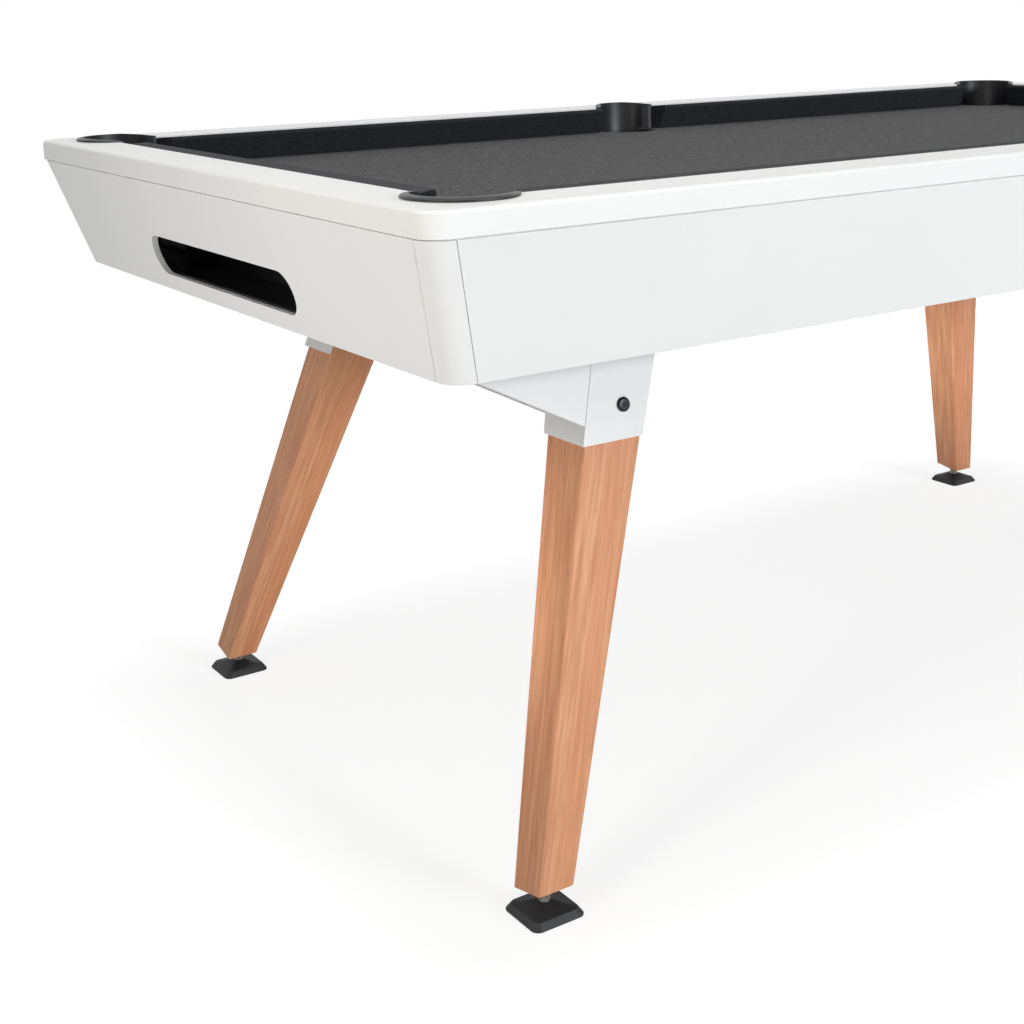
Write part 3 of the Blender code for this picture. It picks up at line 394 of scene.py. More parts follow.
# Near black on the gutters, as painted shade of the table's dark inside
INSIDE_SHADE_SHEET = Moulding(name="inside_shade_sheet", slot="bearer_metal", light="#232427", dark="#1B1C1F",
                        roughness=(0.45, 0.60))
SLATE = Slate()


def add_object(name: str, data: ID) -> Object:
    """Put a mesh, lamp or camera in the scene as an object."""
    item = bpy.data.objects.new(name, data)
    bpy.context.scene.collection.objects.link(item)
    return item


def make_piece(name: str, bm: BMesh, finish: Finish, node: str, edge: float, facets: int = 2,
               body: str = TABLE_BODY) -> Object:
    """Turn a bmesh into a dressed piece with rounded edges, which rides on a body.

    Args:
        name: Name of the piece.
        bm: Mesh in the table's frame; it is freed.
        finish: Finish of the whole piece.
        node: CAD node that the piece stands for.
        edge: Width of the rounding along its sharp edges.
        facets: Facets across the rounding.
        body: CAD body that the piece moves with.

    Returns:
        The piece's object.
    """
    mesh = bpy.data.meshes.new(name)
    bm.to_mesh(mesh)
    bm.free()
    for spare in ("custom_normal", "sharp_edge", "sharp_face"):
        if spare in mesh.attributes:
            mesh.attributes.remove(mesh.attributes[spare])
    mesh.shade_smooth()
    mesh.materials.clear()
    mesh.materials.append(finish.material())
    piece = add_object(name, mesh)
    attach(piece, body)
    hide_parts(node)
    round_edges(piece, edge, facets)
    LOG.info("%s: %d faces in %s", name, len(mesh.polygons), finish.name)
    return piece


def round_edges(piece: Object, width: float, segments: int) -> None:
    """Round a piece's sharp edges, and keep its flat faces flat under light.

    Args:
        piece: Piece to finish.
        width: Width of the rounding, in metres.
        segments: Facets across the rounding.
    """
    bevel = piece.modifiers.new("edges", "BEVEL")
    bevel.width = width
    bevel.segments = segments
    bevel.profile = 0.5
    bevel.limit_method = "ANGLE"
    bevel.angle_limit = EDGE_ANGLE
    bevel.miter_outer = "MITER_ARC"
    piece.modifiers.new("normals", "WEIGHTED_NORMAL").weight = FLAT_FACE_WEIGHT


def solid_copy(node: str) -> BMesh:
    """Copy a CAD node's mesh, merged and with its flat faces whole.

    Args:
        node: Name of the CAD node.

    Returns:
        A new bmesh in the table's frame.
    """
    bm = bmesh.new()
    bm.from_mesh(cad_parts[node].data)
    bmesh.ops.remove_doubles(bm, verts=bm.verts, dist=MERGE_DISTANCE)
    bmesh.ops.dissolve_limit(bm, angle_limit=FLAT_ANGLE, verts=bm.verts, edges=bm.edges)
    return bm


def only(items: list, kind: type) -> list:
    """Return the items of one bmesh type."""
    return [item for item in items if isinstance(item, kind)]


def open_edges(bm: BMesh) -> list:
    """Return the edges with a face on one side only."""
    return [edge for edge in bm.edges if edge.is_boundary]


def spin(bm: BMesh, geom: list, centre: Vector, angle: float, steps: int) -> list:
    """Sweep geometry round a vertical axis.

    Args:
        bm: Mesh that holds the geometry.
        geom: Vertices and edges to sweep.
        centre: Point on the axis.
        angle: Angle of the sweep, anticlockwise from above.
        steps: Facets of the sweep.

    Returns:
        The geometry at the sweep's end.
    """
    swept = bmesh.ops.spin(bm, geom=geom, cent=centre, axis=Z_AXIS, angle=angle, steps=steps)
    return swept["geom_last"]


def closed_loop(bm: BMesh, points: list) -> list:
    """Join a few points into a closed loop of edges.

    Args:
        bm: Mesh that takes the loop.
        points: Points in order.

    Returns:
        The loop's vertices and edges.
    """
    verts = [bm.verts.new(point) for point in points]
    edges = [bm.edges.new((first, second)) for first, second in zip(verts, verts[1:] + verts[:1])]
    return verts + edges


def extrude_ring(bm: BMesh, edges: list, scale: float, rise: float) -> list:
    """Extrude a ring of edges about the Z axis, in or out and up or down.

    Args:
        bm: Mesh that holds the ring.
        edges: Edges of the ring.
        scale: Factor on the ring's size.
        rise: Move along Z.

    Returns:
        Edges of the new ring.
    """
    made = bmesh.ops.extrude_edge_only(bm, edges=edges)["geom"]
    verts = only(made, BMVert)
    bmesh.ops.scale(bm, vec=(scale, scale, 1.0), verts=verts)
    bmesh.ops.translate(bm, vec=(0.0, 0.0, rise), verts=verts)
    ring = set(verts)
    return [edge for edge in only(made, BMEdge) if set(edge.verts) <= ring]


def set_vectors(piece: Object, name: str, vectors: list) -> None:
    """Keep one vector for each vertex of a piece, for its material to read.

    Args:
        piece: Piece whose mesh takes the attribute.
        name: Name of the attribute.
        vectors: A vector for each vertex, in order.
    """
    attribute = piece.data.attributes.new(name, "FLOAT_VECTOR", "POINT")
    attribute.data.foreach_set("vector", [value for vector in vectors for value in vector])


@dataclass(frozen=True)
class TableSizes:
    """Sizes that several sub-assemblies share, read from the CAD nodes where they show there."""

    half_length: float = field(default_factory=lambda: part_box("rail_frame")[1].x)
    half_width: float = field(default_factory=lambda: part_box("rail_frame")[1].y)
    rail_top: float = field(default_factory=lambda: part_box("rail_frame")[1].z)
    cloth_top: float = field(default_factory=lambda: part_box("bed_cloth")[1].z)
    cloth_low: float = field(default_factory=lambda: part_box("bed_cloth")[0].z)
    slab_top: float = field(default_factory=lambda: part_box("bed_slab")[1].z)
    rail_width: float = 0.073


@dataclass(frozen=True)
class PocketSizes:
    """Plan sizes of the pockets' cuts, as in the CAD model."""

    corner_inset: float = 0.092
    corner_radius: float = 0.0545
    middle_inset: float = 0.082
    middle_radius: float = 0.0505
    mouth_round: float = 0.014


@dataclass
class PocketLiner:
    """A pocket's moulded collar, with its rim on the rail and its drop tube through the bed."""

    sizes: TableSizes
    cuts: PocketSizes
    place: PocketPlace
    wall: float = 0.003
    rim_width: float = 0.0065
    rim_flat: float = 0.0040
    rim_side: float = 0.0022
    # Shares of the rim that are left at its ends, and where the arc meets the mouths
    rim_end: float = 0.1
    rim_middle: float = 0.5
    rim_fade: float = math.radians(40)
    tube_step: float = 0.0006
    tube_wall: float = 0.0018
    skirt_drop: float = 0.006
    skirt_margin: float = math.radians(14)
    edge: float = 0.0009
    mouth_steps: int = 10
    arc_steps: int = 48

    def __post_init__(self) -> None:
        """Work out the cut's centres in the table's first quarter, where every liner is modelled."""
        self.node = f"pocket_{self.place.label}"
        self.is_corner = self.place.value[0] != 0
        self.inset = self.cuts.corner_inset if self.is_corner else self.cuts.middle_inset
        self.radius = self.cuts.corner_radius if self.is_corner else self.cuts.middle_radius
        x = self.sizes.half_length - self.inset if self.is_corner else 0.0
        self.centre = Vector((x, self.sizes.half_width - self.inset, 0.0))
        mouth_inset = self.sizes.rail_width - self.cuts.mouth_round
        reach = self.radius + self.cuts.mouth_round
        drop = self.inset - mouth_inset
        self.along = math.sqrt(reach ** 2 - drop ** 2)
        self.first_mouth = Vector((x - self.along, self.sizes.half_width - mouth_inset, 0.0))
        if self.is_corner:
            last = (self.sizes.half_length - mouth_inset, self.centre.y - self.along, 0.0)
        else:
            last = (self.along, self.first_mouth.y, 0.0)
        self.last_mouth = Vector(last)
        self.start_angle = math.atan2(drop, -self.along)
        end = self.last_mouth - self.centre
        self.end_angle = math.atan2(end.y, end.x)
        self.span = self.start_angle - self.end_angle
        self.mouth_turn = math.atan2(self.along, drop)

    def angle_of(self, point: Vector) -> float:
        """Angle of a point round the pocket's axis, counted down from the arc's start."""
        angle = math.atan2(point.y - self.centre.y, point.x - self.centre.x)
        return (self.start_angle - angle) % FULL_TURN

    def in_arc(self, point: Vector) -> bool:
        """Tell whether a point lies behind the arc, well inside its ends."""
        return self.skirt_margin < self.angle_of(point) < self.span - self.skirt_margin

    def sweep_collar(self, bm: BMesh) -> None:
        """Sweep the rim and wall round one mouth, the arc and the other mouth."""
        low = self.sizes.cloth_top + SEAT_GAP
        rim_low = self.sizes.rail_top + SEAT_GAP
        rim_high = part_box(self.node)[1].z
        inner = -SEAT_GAP - self.wall
        section = [
            (inner, low),
            (inner, rim_high),
            (self.rim_flat, rim_high - SEAT_GAP),
            (self.rim_width, rim_low + self.rim_side),
            (self.rim_width, rim_low),
            (-SEAT_GAP, rim_low),
            (-SEAT_GAP, low),
        ]
        rail_line = self.sizes.half_width - self.sizes.rail_width
        loop = closed_loop(bm, [(self.first_mouth.x, rail_line + out, z) for out, z in section])
        loop = spin(bm, loop, self.first_mouth, self.mouth_turn, self.mouth_steps)
        loop = spin(bm, loop, self.centre, -self.span, self.arc_steps)
        spin(bm, loop, self.last_mouth, self.mouth_turn, self.mouth_steps)
        bmesh.ops.holes_fill(bm, edges=open_edges(bm))
        self.taper_rim(bm, rim_low)
        floor = [face for face in bm.faces if self.in_arc(face.calc_center_median())
                 and max(vert.co.z for vert in face.verts) < low + MERGE_DISTANCE]
        self.lift(bm, floor, self.sizes.slab_top - self.skirt_drop - low)

    def taper_rim(self, bm: BMesh, rim_low: float) -> None:
        """Let the rim thin out along the arc's ends and die away round the mouths.

        Args:
            bm: Mesh with the swept collar.
            rim_low: Height of the rim's underside.
        """
        last_rail = Vector((-1.0, 0.0)) if self.is_corner else Vector((0.0, -1.0))
        mouths = ((self.first_mouth.xy, Vector((0.0, -1.0))), (self.last_mouth.xy, last_rail))
        for vert in bm.verts:
            angle = self.angle_of(vert.co)
            if angle < self.span:
                turn = min(angle, self.span - angle) / self.rim_fade
                share = self.rim_middle + (1 - self.rim_middle) * min(turn, 1.0)
                arm = vert.co.xy - self.centre.xy
                out = arm.length - self.radius
                if out > 0:
                    arm.length = self.radius + out * share
                    vert.co.xy = self.centre.xy + arm
            else:
                mouth, rail = min(mouths, key=lambda item: (vert.co.xy - item[0]).length)
                arm = vert.co.xy - mouth
                turn = arm.angle(rail) / self.mouth_turn
                share = self.rim_end + (self.rim_middle - self.rim_end) * min(turn, 1.0)
                out = self.cuts.mouth_round - arm.length
                if out > 0:
                    arm.length = self.cuts.mouth_round - out * share
                    vert.co.xy = mouth + arm
            vert.co.z = min(vert.co.z, rim_low + (vert.co.z - rim_low) * share)

    def lift(self, bm: BMesh, faces: list, rise: float) -> None:
        """Extrude flat faces up or down."""
        made = bmesh.ops.extrude_face_region(bm, geom=faces)["geom"]
        bmesh.ops.translate(bm, vec=(0.0, 0.0, rise), verts=only(made, BMVert))

    def add_tube(self, bm: BMesh) -> None:
        """Turn the drop tube, which stands a little higher where the cloth meets it."""
        outside = self.radius - SEAT_GAP - self.tube_step
        inside = outside - self.tube_wall
        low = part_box(self.node)[0].z
        high = self.sizes.slab_top - self.skirt_drop
        section = [(outside, low), (outside, high), (inside, high), (inside, low)]
        loop = closed_loop(bm, [(self.centre.x + out, self.centre.y, z) for out, z in section])
        before = set(bm.faces)
        bmesh.ops.spin(bm, geom=loop, cent=self.centre, axis=Z_AXIS, angle=FULL_TURN,
                       steps=self.arc_steps + self.mouth_steps, use_merge=True)
        top = [face for face in bm.faces if face not in before
               and min(vert.co.z for vert in face.verts) > high - MERGE_DISTANCE
               and not self.in_arc(face.calc_center_median())]
        self.lift(bm, top, self.skirt_drop - self.tube_step)

    def build(self) -> None:
        """Build the liner and place it in its quarter of the table."""
        bm = bmesh.new()
        self.sweep_collar(bm)
        self.add_tube(bm)
        side_x, side_y = self.place.value
        bmesh.ops.scale(bm, vec=(side_x or 1.0, side_y, 1.0), verts=bm.verts)
        bmesh.ops.recalc_face_normals(bm, faces=bm.faces)
        make_piece(f"liner_{self.place.label}", bm, ABS, self.node, self.edge, 3)


@dataclass
class Cushion:
    """A rubber cushion in its cloth, cut back at both ends to make the pockets' jaws."""

    sizes: TableSizes
    node: str
    to_table: Matrix
    start: float
    end: float
    start_jaw: float
    end_jaw: float
    depth: float = 0.034
    base_depth: float = 0.018
    nose_height: float = 0.0365
    back_drop: float = 0.0028
    lip_drop: float = 0.0006
    nose_round: float = 0.002
    edge: float = 0.0010

    def section(self) -> list:
        """Return the section from the back's top edge round the nose, as points across X."""
        low = self.sizes.cloth_top + SEAT_GAP
        nose = self.sizes.cloth_top + self.nose_height
        corners = (
            (SEAT_GAP, self.sizes.rail_top - self.back_drop),
            (self.depth - self.nose_round, self.sizes.rail_top - self.lip_drop),
            (self.depth, nose),
            (self.depth - self.nose_round / 2, nose - self.nose_round),
            (self.base_depth, low),
            (SEAT_GAP, low),
        )
        return [Vector((0.0, depth, z)) for depth, z in corners]

    def build(self) -> None:
        """Extrude the section, cut the jaws back and lay the cloth's threads along it."""
        bm = bmesh.new()
        thread = bm.verts.layers.float_vector.new("thread")
        points = self.section()
        loop = closed_loop(bm, points)
        girth = 0.0
        verts = only(loop, BMVert)
        for index, vert in enumerate(verts):
            girth += (points[index] - points[index - 1]).length if index else 0.0
            vert[thread] = (0.0, girth, 0.0)
        face = bmesh.ops.contextual_create(bm, geom=only(loop, BMEdge))["faces"]
        made = bmesh.ops.extrude_face_region(bm, geom=face)["geom"]
        far = only(made, BMVert)
        bmesh.ops.translate(bm, vec=(self.end - self.start, 0.0, 0.0), verts=far)
        for group, jaw in ((verts, self.start_jaw), (far, -self.end_jaw)):
            shear = Matrix.Identity(4)
            shear[0][1] = jaw / self.depth
            bmesh.ops.transform(bm, matrix=shear, verts=group)
        for vert in bm.verts:
            vert[thread] = (vert.co.x, vert[thread].y, SEAT_GAP)
        bmesh.ops.translate(bm, vec=(self.start, 0.0, 0.0), verts=bm.verts)
        bmesh.ops.transform(bm, matrix=self.to_table, verts=bm.verts)
        bmesh.ops.recalc_face_normals(bm, faces=bm.faces)
        piece = make_piece(f"covered_{self.node}", bm, CUSHION_CLOTH, self.node, self.edge, 3)


@dataclass
class BedCloth:
    """The bed's cloth, stretched over the slab up to the rails and round the pocket holes."""

    sizes: TableSizes
    cuts: PocketSizes
    gap: float = 0.0006
    edge: float = 0.0004
    arc_steps: int = 40

    def outline(self, bm: BMesh) -> list:
        """Draw the cloth's edge with an arc at each pocket.

        Args:
            bm: Mesh that takes the outline.

        Returns:
            The outline's edges.
        """
        ends = []
        for place in PocketPlace:
            liner = PocketLiner(self.sizes, self.cuts, place)
            side_x, side_y = place.value
            centre = Vector((side_x * liner.centre.x, side_y * liner.centre.y, self.sizes.cloth_top))
            radius = liner.radius + self.gap
            low = math.asin((liner.inset - self.sizes.rail_width - self.gap) / radius)
            spread = low + (math.pi / 4 if liner.is_corner else math.pi / 2)
            angle = math.atan2(-side_y, -side_x) + spread
            start = bm.verts.new(centre + radius * Vector((math.cos(angle), math.sin(angle), 0.0)))
            last = spin(bm, [start], centre, -2 * spread, self.arc_steps)
            ends.append((start, only(last, BMVert)[0]))
        for (_, last), (start, _) in zip(ends, ends[1:] + ends[:1]):
            bm.edges.new((last, start))
        return list(bm.edges)

    def build(self) -> None:
        bm = bmesh.new()
        faces = bmesh.ops.contextual_create(bm, geom=self.outline(bm))["faces"]
        area = faces[0].calc_area()
        made = bmesh.ops.extrude_face_region(bm, geom=faces)["geom"]
        drop = self.sizes.cloth_low - self.sizes.cloth_top
        bmesh.ops.translate(bm, vec=(0.0, 0.0, drop), verts=only(made, BMVert))
        bmesh.ops.recalc_face_normals(bm, faces=bm.faces)
        piece = make_piece("stretched_bed_cloth", bm, CLOTH, "bed_cloth", self.edge)
        set_vectors(piece, "thread", [(v.co.x, v.co.y, SEAT_GAP) for v in piece.data.vertices])


@dataclass
class PlayingField:
    """Cloth, cushions and pocket liners."""

    sizes: TableSizes
    cuts: PocketSizes
    corner_jaw: float = 0.012
    middle_jaw: float = 0.008
    end_gap: float = 0.0006

    def build(self) -> None:
        """Build the cloth, then six liners and six cushions."""
        BedCloth(self.sizes, self.cuts).build()
        liners = {place: PocketLiner(self.sizes, self.cuts, place) for place in PocketPlace}
        for liner in liners.values():
            liner.build()
        corner = liners[PocketPlace.HEAD_LEFT]
        corner_back = corner.inset + corner.along + self.end_gap
        middle_back = liners[PocketPlace.MIDDLE_LEFT].along + self.end_gap
        line_y = self.sizes.half_width - self.sizes.rail_width
        line_x = self.sizes.half_length - self.sizes.rail_width
        for side, side_y in SIDES:
            for end, side_x in ENDS:
                to_table = Matrix(((side_x, 0, 0, 0), (0, -side_y, 0, side_y * line_y),
                                   (0, 0, 1, 0), (0, 0, 0, 1)))
                Cushion(self.sizes, f"cushion_{side}_{end}", to_table, middle_back,
                        self.sizes.half_length - corner_back, self.middle_jaw, self.corner_jaw).build()
        reach = self.sizes.half_width - corner_back
        for end, side_x in ENDS:
            to_table = Matrix(((0, -side_x, 0, side_x * line_x), (1, 0, 0, 0),
                               (0, 0, 1, 0), (0, 0, 0, 1)))
            Cushion(self.sizes, f"cushion_{end}_end", to_table, -reach, reach,
                    self.corner_jaw, self.corner_jaw).build()


@dataclass
class Cabinet:
    """The white rail and panels, with the works that they hide."""

    sides: tuple = ("left", "right", "return_end", "head_end")
    panel_edge: float = 0.0007
    rail_edge: float = 0.0008
    sheet_edge: float = 0.0005
    bearer_edge: float = 0.0025
    back_share: float = 0.8

    def build(self) -> None:
        """Give the rail, aprons, corner pieces and what is inside rounded edges and a finish."""
        panels = [f"apron_{side}" for side in self.sides] + [f"corner_{corner.label}" for corner in Corner]
        bearers = [f"bearer_{side}" for side in (*self.sides, "middle")]
        gutters = [f"gutter_{side}" for side, _ in SIDES]
        for prefix, nodes, finish, edge, facets in (
            ("coated", ["rail_frame"], POWDER_COAT, self.rail_edge, 2),
            ("coated", panels, POWDER_COAT, self.panel_edge, 2),
            ("galvanised", bearers, GALVANISED, self.bearer_edge, 3),
            # The gutters are drawn near black as painted shade of the table's dark inside
            ("coated", gutters, INSIDE_SHADE_SHEET, self.sheet_edge, 1),
            # The ball tray is drawn black as painted shade of the table's dark inside
            ("moulded", ["ball_tray"], ABS, self.sheet_edge, 1),
            ("ground", ["bed_slab"], SLATE, self.panel_edge, 2),
        ):
            for node in nodes:
                piece = make_piece(f"{prefix}_{node}", solid_copy(node), finish, node, edge, facets)
                # The aprons' faces that look into the table get painted shade
                if node.startswith("apron"):
                    self.paint_inside_shade(piece, node)

    def paint_inside_shade(self, piece: Object, node: str) -> None:
        """Mark the faces of a panel that look into the table, which take painted shade in place of the
        white coat.

        Args:
            piece: Piece whose mesh takes the marks.
            node: CAD node of the panel.
        """
        low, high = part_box(node)
        outward = (low + high).to_2d().normalized()
        marks = [float(face.normal.to_2d().dot(outward) < -self.back_share) for face in piece.data.polygons]
        attribute = piece.data.attributes.new("painted_inside_shade", "FLOAT", "FACE")
        attribute.data.foreach_set("value", marks)


@dataclass
class Leg:
    """One leg with its bracket, wedge brace, bolt and levelling foot."""

    corner: Corner
    seat: float = 0.036
    foot_x: float = 0.820
    foot_y: float = 0.432
    size_y: float = 0.0535
    splay_x: float = math.tan(math.radians(18.20))
    splay_y: float = math.tan(math.radians(12.79))
    taper_y: float = math.tan(math.radians(2.75))
    plate: float = 0.004
    plate_edge: float = 0.0008
    hem_edge: float = 0.0018
    hem_length: float = 0.1
    hem_rise: float = 0.02
    hem_steps: int = 4
    wood_edge: float = 0.0012
    # Each leg is cut from another place in the wood's pattern
    grain_shift: float = 3.0
    bolt_height: float = 0.5546
    bolt_to_middle: float = 0.005
    bolt_head: float = 0.0032
    bolt_radius: float = 0.0088
    bolt_steps: int = 36
    bolt_edge: float = 0.0003
    # The head's dome, as shares of its radius and drops below its top
    crown: float = 0.56
    dome: tuple = ((0.80, 0.0003), (0.94, 0.0010), (1.0, 0.0020))
    shank_radius: float = 0.005
    shank_length: float = 0.046
    socket_radius: float = 0.0042
    socket_depth: float = 0.002

    def __post_init__(self) -> None:
        """Find the point on the floor under the levelling foot's axis."""
        self.sides = self.corner.value
        self.foot = Vector((self.sides[0] * self.foot_x, self.sides[1] * self.foot_y, 0.0))

    def build(self) -> None:
        """Build the wood, the white metalwork, the bolt and the foot."""
        self.build_wood()
        self.build_metal()
        self.build_bolt()
        LevellingFoot(self.corner, self.foot).build()

    def build_wood(self) -> None:
        """Dress the leg's solid, with its grain along its own axis."""
        node = f"leg_{self.corner.label}"
        piece = make_piece(f"hardwood_{node}", solid_copy(node), WOOD, node, self.wood_edge)
        along = Vector((-self.sides[0] * self.splay_x, -self.sides[1] * self.splay_y, 1.0)).normalized()
        across = (Vector((1.0, 0.0, 0.0)) - along * along.x).normalized()
        axes = (across, along.cross(across), along)
        start = self.foot * self.grain_shift
        set_vectors(piece, "grain", [[axis.dot(vert.co - self.foot) + start[index] for index, axis
                                      in enumerate(axes)] for vert in piece.data.vertices])

    def build_metal(self) -> None:
        """Dress the bracket and the wedge, whose cheeks have fully rounded lower edges."""
        for kind in ("bracket", "wedge"):
            node = f"{kind}_{self.corner.label}"
            bm = solid_copy(node)
            if kind == "wedge":
                hems = [edge for edge in bm.edges if self.is_hem(edge)]
                bmesh.ops.bevel(bm, geom=hems, offset=self.hem_edge, segments=self.hem_steps, profile=0.5,
                                affect="EDGES", material=-1)
            make_piece(f"coated_{node}", bm, POWDER_COAT, node, self.plate_edge)

    def is_hem(self, edge: BMEdge) -> bool:
        """Tell whether an edge is one of the long slanting ones under the wedge's cheeks."""
        run = edge.verts[1].co - edge.verts[0].co
        return run.length > self.hem_length and abs(run.x) > abs(run.z) > self.hem_rise

    def turn_bolt(self, bm: BMesh) -> None:
        """Make the bolt on the Z axis, from the socket's floor over the head and down the shank."""
        head = self.bolt_head + SEAT_GAP
        floor = Matrix.Translation((0.0, 0.0, head - self.socket_depth))
        bmesh.ops.create_circle(bm, cap_ends=True, segments=HEX_SIDES, radius=self.socket_radius,
                                matrix=floor)
        mouth = extrude_ring(bm, list(bm.edges), 1.0, self.socket_depth)
        bmesh.ops.subdivide_edges(bm, edges=mouth, cuts=self.bolt_steps // HEX_SIDES - 1)
        inner = open_edges(bm)
        radius, height = self.bolt_radius * self.crown, head
        top = Matrix.Translation((0.0, 0.0, head))
        bmesh.ops.create_circle(bm, segments=self.bolt_steps, radius=radius, matrix=top)
        ring = [edge for edge in bm.edges if edge.is_wire]
        bmesh.ops.bridge_loops(bm, edges=inner + ring)
        levels = [(share * self.bolt_radius, head - drop) for share, drop in self.dome]
        for target, level in (*levels, (self.bolt_radius, SEAT_GAP)):
            ring = extrude_ring(bm, ring, target / radius, level - height)
            radius, height = target, level
        ring = extrude_ring(bm, ring, self.shank_radius / radius, 0.0)
        ring = extrude_ring(bm, ring, 1.0, -self.shank_length - SEAT_GAP)
        bmesh.ops.holes_fill(bm, edges=ring)

    def build_bolt(self) -> None:
        """Seat a button-headed bolt with a hexagonal socket on the bracket's side plate."""
        bm = bmesh.new()
        self.turn_bolt(bm)
        outward = Vector((0.0, 1.0, self.splay_y - self.taper_y / 2)).normalized()
        rise = self.bolt_height - self.seat
        half_y = (self.size_y + self.taper_y * rise) / 2
        seat = Vector((self.foot_x - self.splay_x * rise - self.bolt_to_middle,
                       self.foot_y - self.splay_y * rise + half_y, self.bolt_height))
        seat += outward * (SEAT_GAP + self.plate)
        turn = Vector(Z_AXIS).rotation_difference(outward).to_matrix().to_4x4()
        bmesh.ops.transform(bm, matrix=Matrix.Translation(seat) @ turn, verts=bm.verts)
        bmesh.ops.scale(bm, vec=(*self.sides, 1.0), verts=bm.verts)
        bmesh.ops.recalc_face_normals(bm, faces=bm.faces)
        node = f"bolt_{self.corner.label}"
        make_piece(f"button_head_{node}", bm, BLACK_STEEL, node, self.bolt_edge)


@dataclass
class LevellingFoot:
    """A rubber pad, the stud that turns in it, and the threaded insert in the leg's end."""

    corner: Corner
    foot: Vector
    pad_half: float = 0.035
    pad_corner: float = 0.010
    corner_steps: int = 8
    # Half widths and heights, up the pad's side and round the groove under it
    pad_levels: tuple = ((0.035, 0.0015), (0.030, 0.009), (0.017, 0.0115))
    tread: tuple = ((0.029, 0.0), (0.028, 0.0008), (0.019, 0.0008), (0.018, 0.0))
    hub_radius: float = 0.0125
    pad_top: float = 0.0155
    socket_radius: float = 0.0056
    socket_floor: float = 0.006
    pad_edge: float = 0.0007
    stud_radius: float = 0.005
    stud_edge: float = 0.0004
    thread_depth: float = 0.0009
    pitch: float = 0.0015
    # Shares of the pitch at which the thread reaches its crest, leaves it and is back at the root
    thread_shares: tuple = (0.35, 0.5, 0.85)
    turn_steps: int = 16
    hex_radius: float = 0.0075
    stud_top: float = 0.075
    insert_low: float = 0.0337
    insert_edge: float = 0.0003

    def build(self) -> None:
        """Build the pad and the stud, each on its own body, and the insert, which rides on the table."""
        self.build_pad()
        self.build_stud()
        node = f"insert_{self.corner.label}"
        make_piece(f"plated_{node}", solid_copy(node), ZINC, node, self.insert_edge)

    def build_pad(self) -> None:
        """Raise the pad from a rounded square, with a socket on top and a tread ring below."""
        bm = bmesh.new()
        bmesh.ops.create_grid(bm, x_segments=1, y_segments=1, size=self.pad_half)
        bmesh.ops.bevel(bm, geom=list(bm.verts), offset=self.pad_corner, segments=self.corner_steps,
                        profile=0.5, affect="VERTICES", material=-1)
        under = list(bm.faces)
        outline = list(bm.edges)
        width, height = self.pad_half, 0.0
        for half, level in self.tread:
            under = self.raise_face(bm, under, half / width, level - height)
            width, height = half, level
        width, height = self.pad_half, 0.0
        for half, level in self.pad_levels:
            outline = extrude_ring(bm, outline, half / width, level - height)
            width, height = half, level
        for radius, level in ((self.hub_radius, self.pad_top), (self.socket_radius, self.pad_top),
                              (self.socket_radius, self.socket_floor)):
            outline = extrude_ring(bm, outline, 1.0, level - height)
            for vert in {vert for edge in outline for vert in edge.verts}:
                vert.co.xy = vert.co.xy.normalized() * radius
            height = level
        bmesh.ops.holes_fill(bm, edges=outline)
        bmesh.ops.recalc_face_normals(bm, faces=bm.faces)
        bmesh.ops.translate(bm, vec=self.foot, verts=bm.verts)
        node = f"pad_{self.corner.label}"
        make_piece(f"rubber_{node}", bm, RUBBER, node, self.pad_edge, body=f"pad_body_{self.corner.label}")

    def raise_face(self, bm: BMesh, faces: list, scale: float, rise: float) -> list:
        """Extrude a flat face about the Z axis, in or out and up or down, in place of itself.

        Args:
            bm: Mesh that holds the face.
            faces: The face, in a list.
            scale: Factor on its size.
            rise: Move along Z.

        Returns:
            The new face, in a list.
        """
        made = bmesh.ops.extrude_face_region(bm, geom=faces)["geom"]
        bmesh.ops.delete(bm, geom=[face for face in faces if face.is_valid], context="FACES_ONLY")
        verts = only(made, BMVert)
        bmesh.ops.scale(bm, vec=(scale, scale, 1.0), verts=verts)
        bmesh.ops.translate(bm, vec=(0.0, 0.0, rise), verts=verts)
        return only(made, BMFace)

    def spin_thread(self, low: float) -> Mesh:
        """Spin the stud's thread about the Z axis, closed at both ends.

        Args:
            low: Height of its lower end.

        Returns:
            A mesh to take into the stud, and to remove then.
        """
        bm = bmesh.new()
        root, crest = self.stud_radius - self.thread_depth, self.stud_radius
        start = low - self.pitch
        up, over, down = self.thread_shares
        profile = ((root, 0.0), (crest, up), (crest, over), (root, down), (root, 1.0))
        verts = [bm.verts.new((radius, 0.0, start + share * self.pitch)) for radius, share in profile]
        edges = [bm.edges.new(pair) for pair in zip(verts, verts[1:])]
        turns = math.ceil((self.stud_top - start) / self.pitch) + 1
        bmesh.ops.spin(bm, geom=verts + edges, cent=(0.0, 0.0, 0.0), axis=Z_AXIS, angle=FULL_TURN * turns,
                       steps=turns * self.turn_steps, dvec=(0.0, 0.0, self.pitch / self.turn_steps))
        bmesh.ops.remove_doubles(bm, verts=bm.verts, dist=MERGE_DISTANCE)
        for height, normal in ((low, (0.0, 0.0, -1.0)), (self.stud_top, Z_AXIS)):
            bmesh.ops.bisect_plane(bm, geom=bm.verts[:] + bm.edges[:] + bm.faces[:],
                                   plane_co=(0.0, 0.0, height), plane_no=normal, clear_outer=True)
        bmesh.ops.holes_fill(bm, edges=open_edges(bm))
        bmesh.ops.recalc_face_normals(bm, faces=bm.faces)
        mesh = bpy.data.meshes.new("thread")
        bm.to_mesh(mesh)
        bm.free()
        return mesh

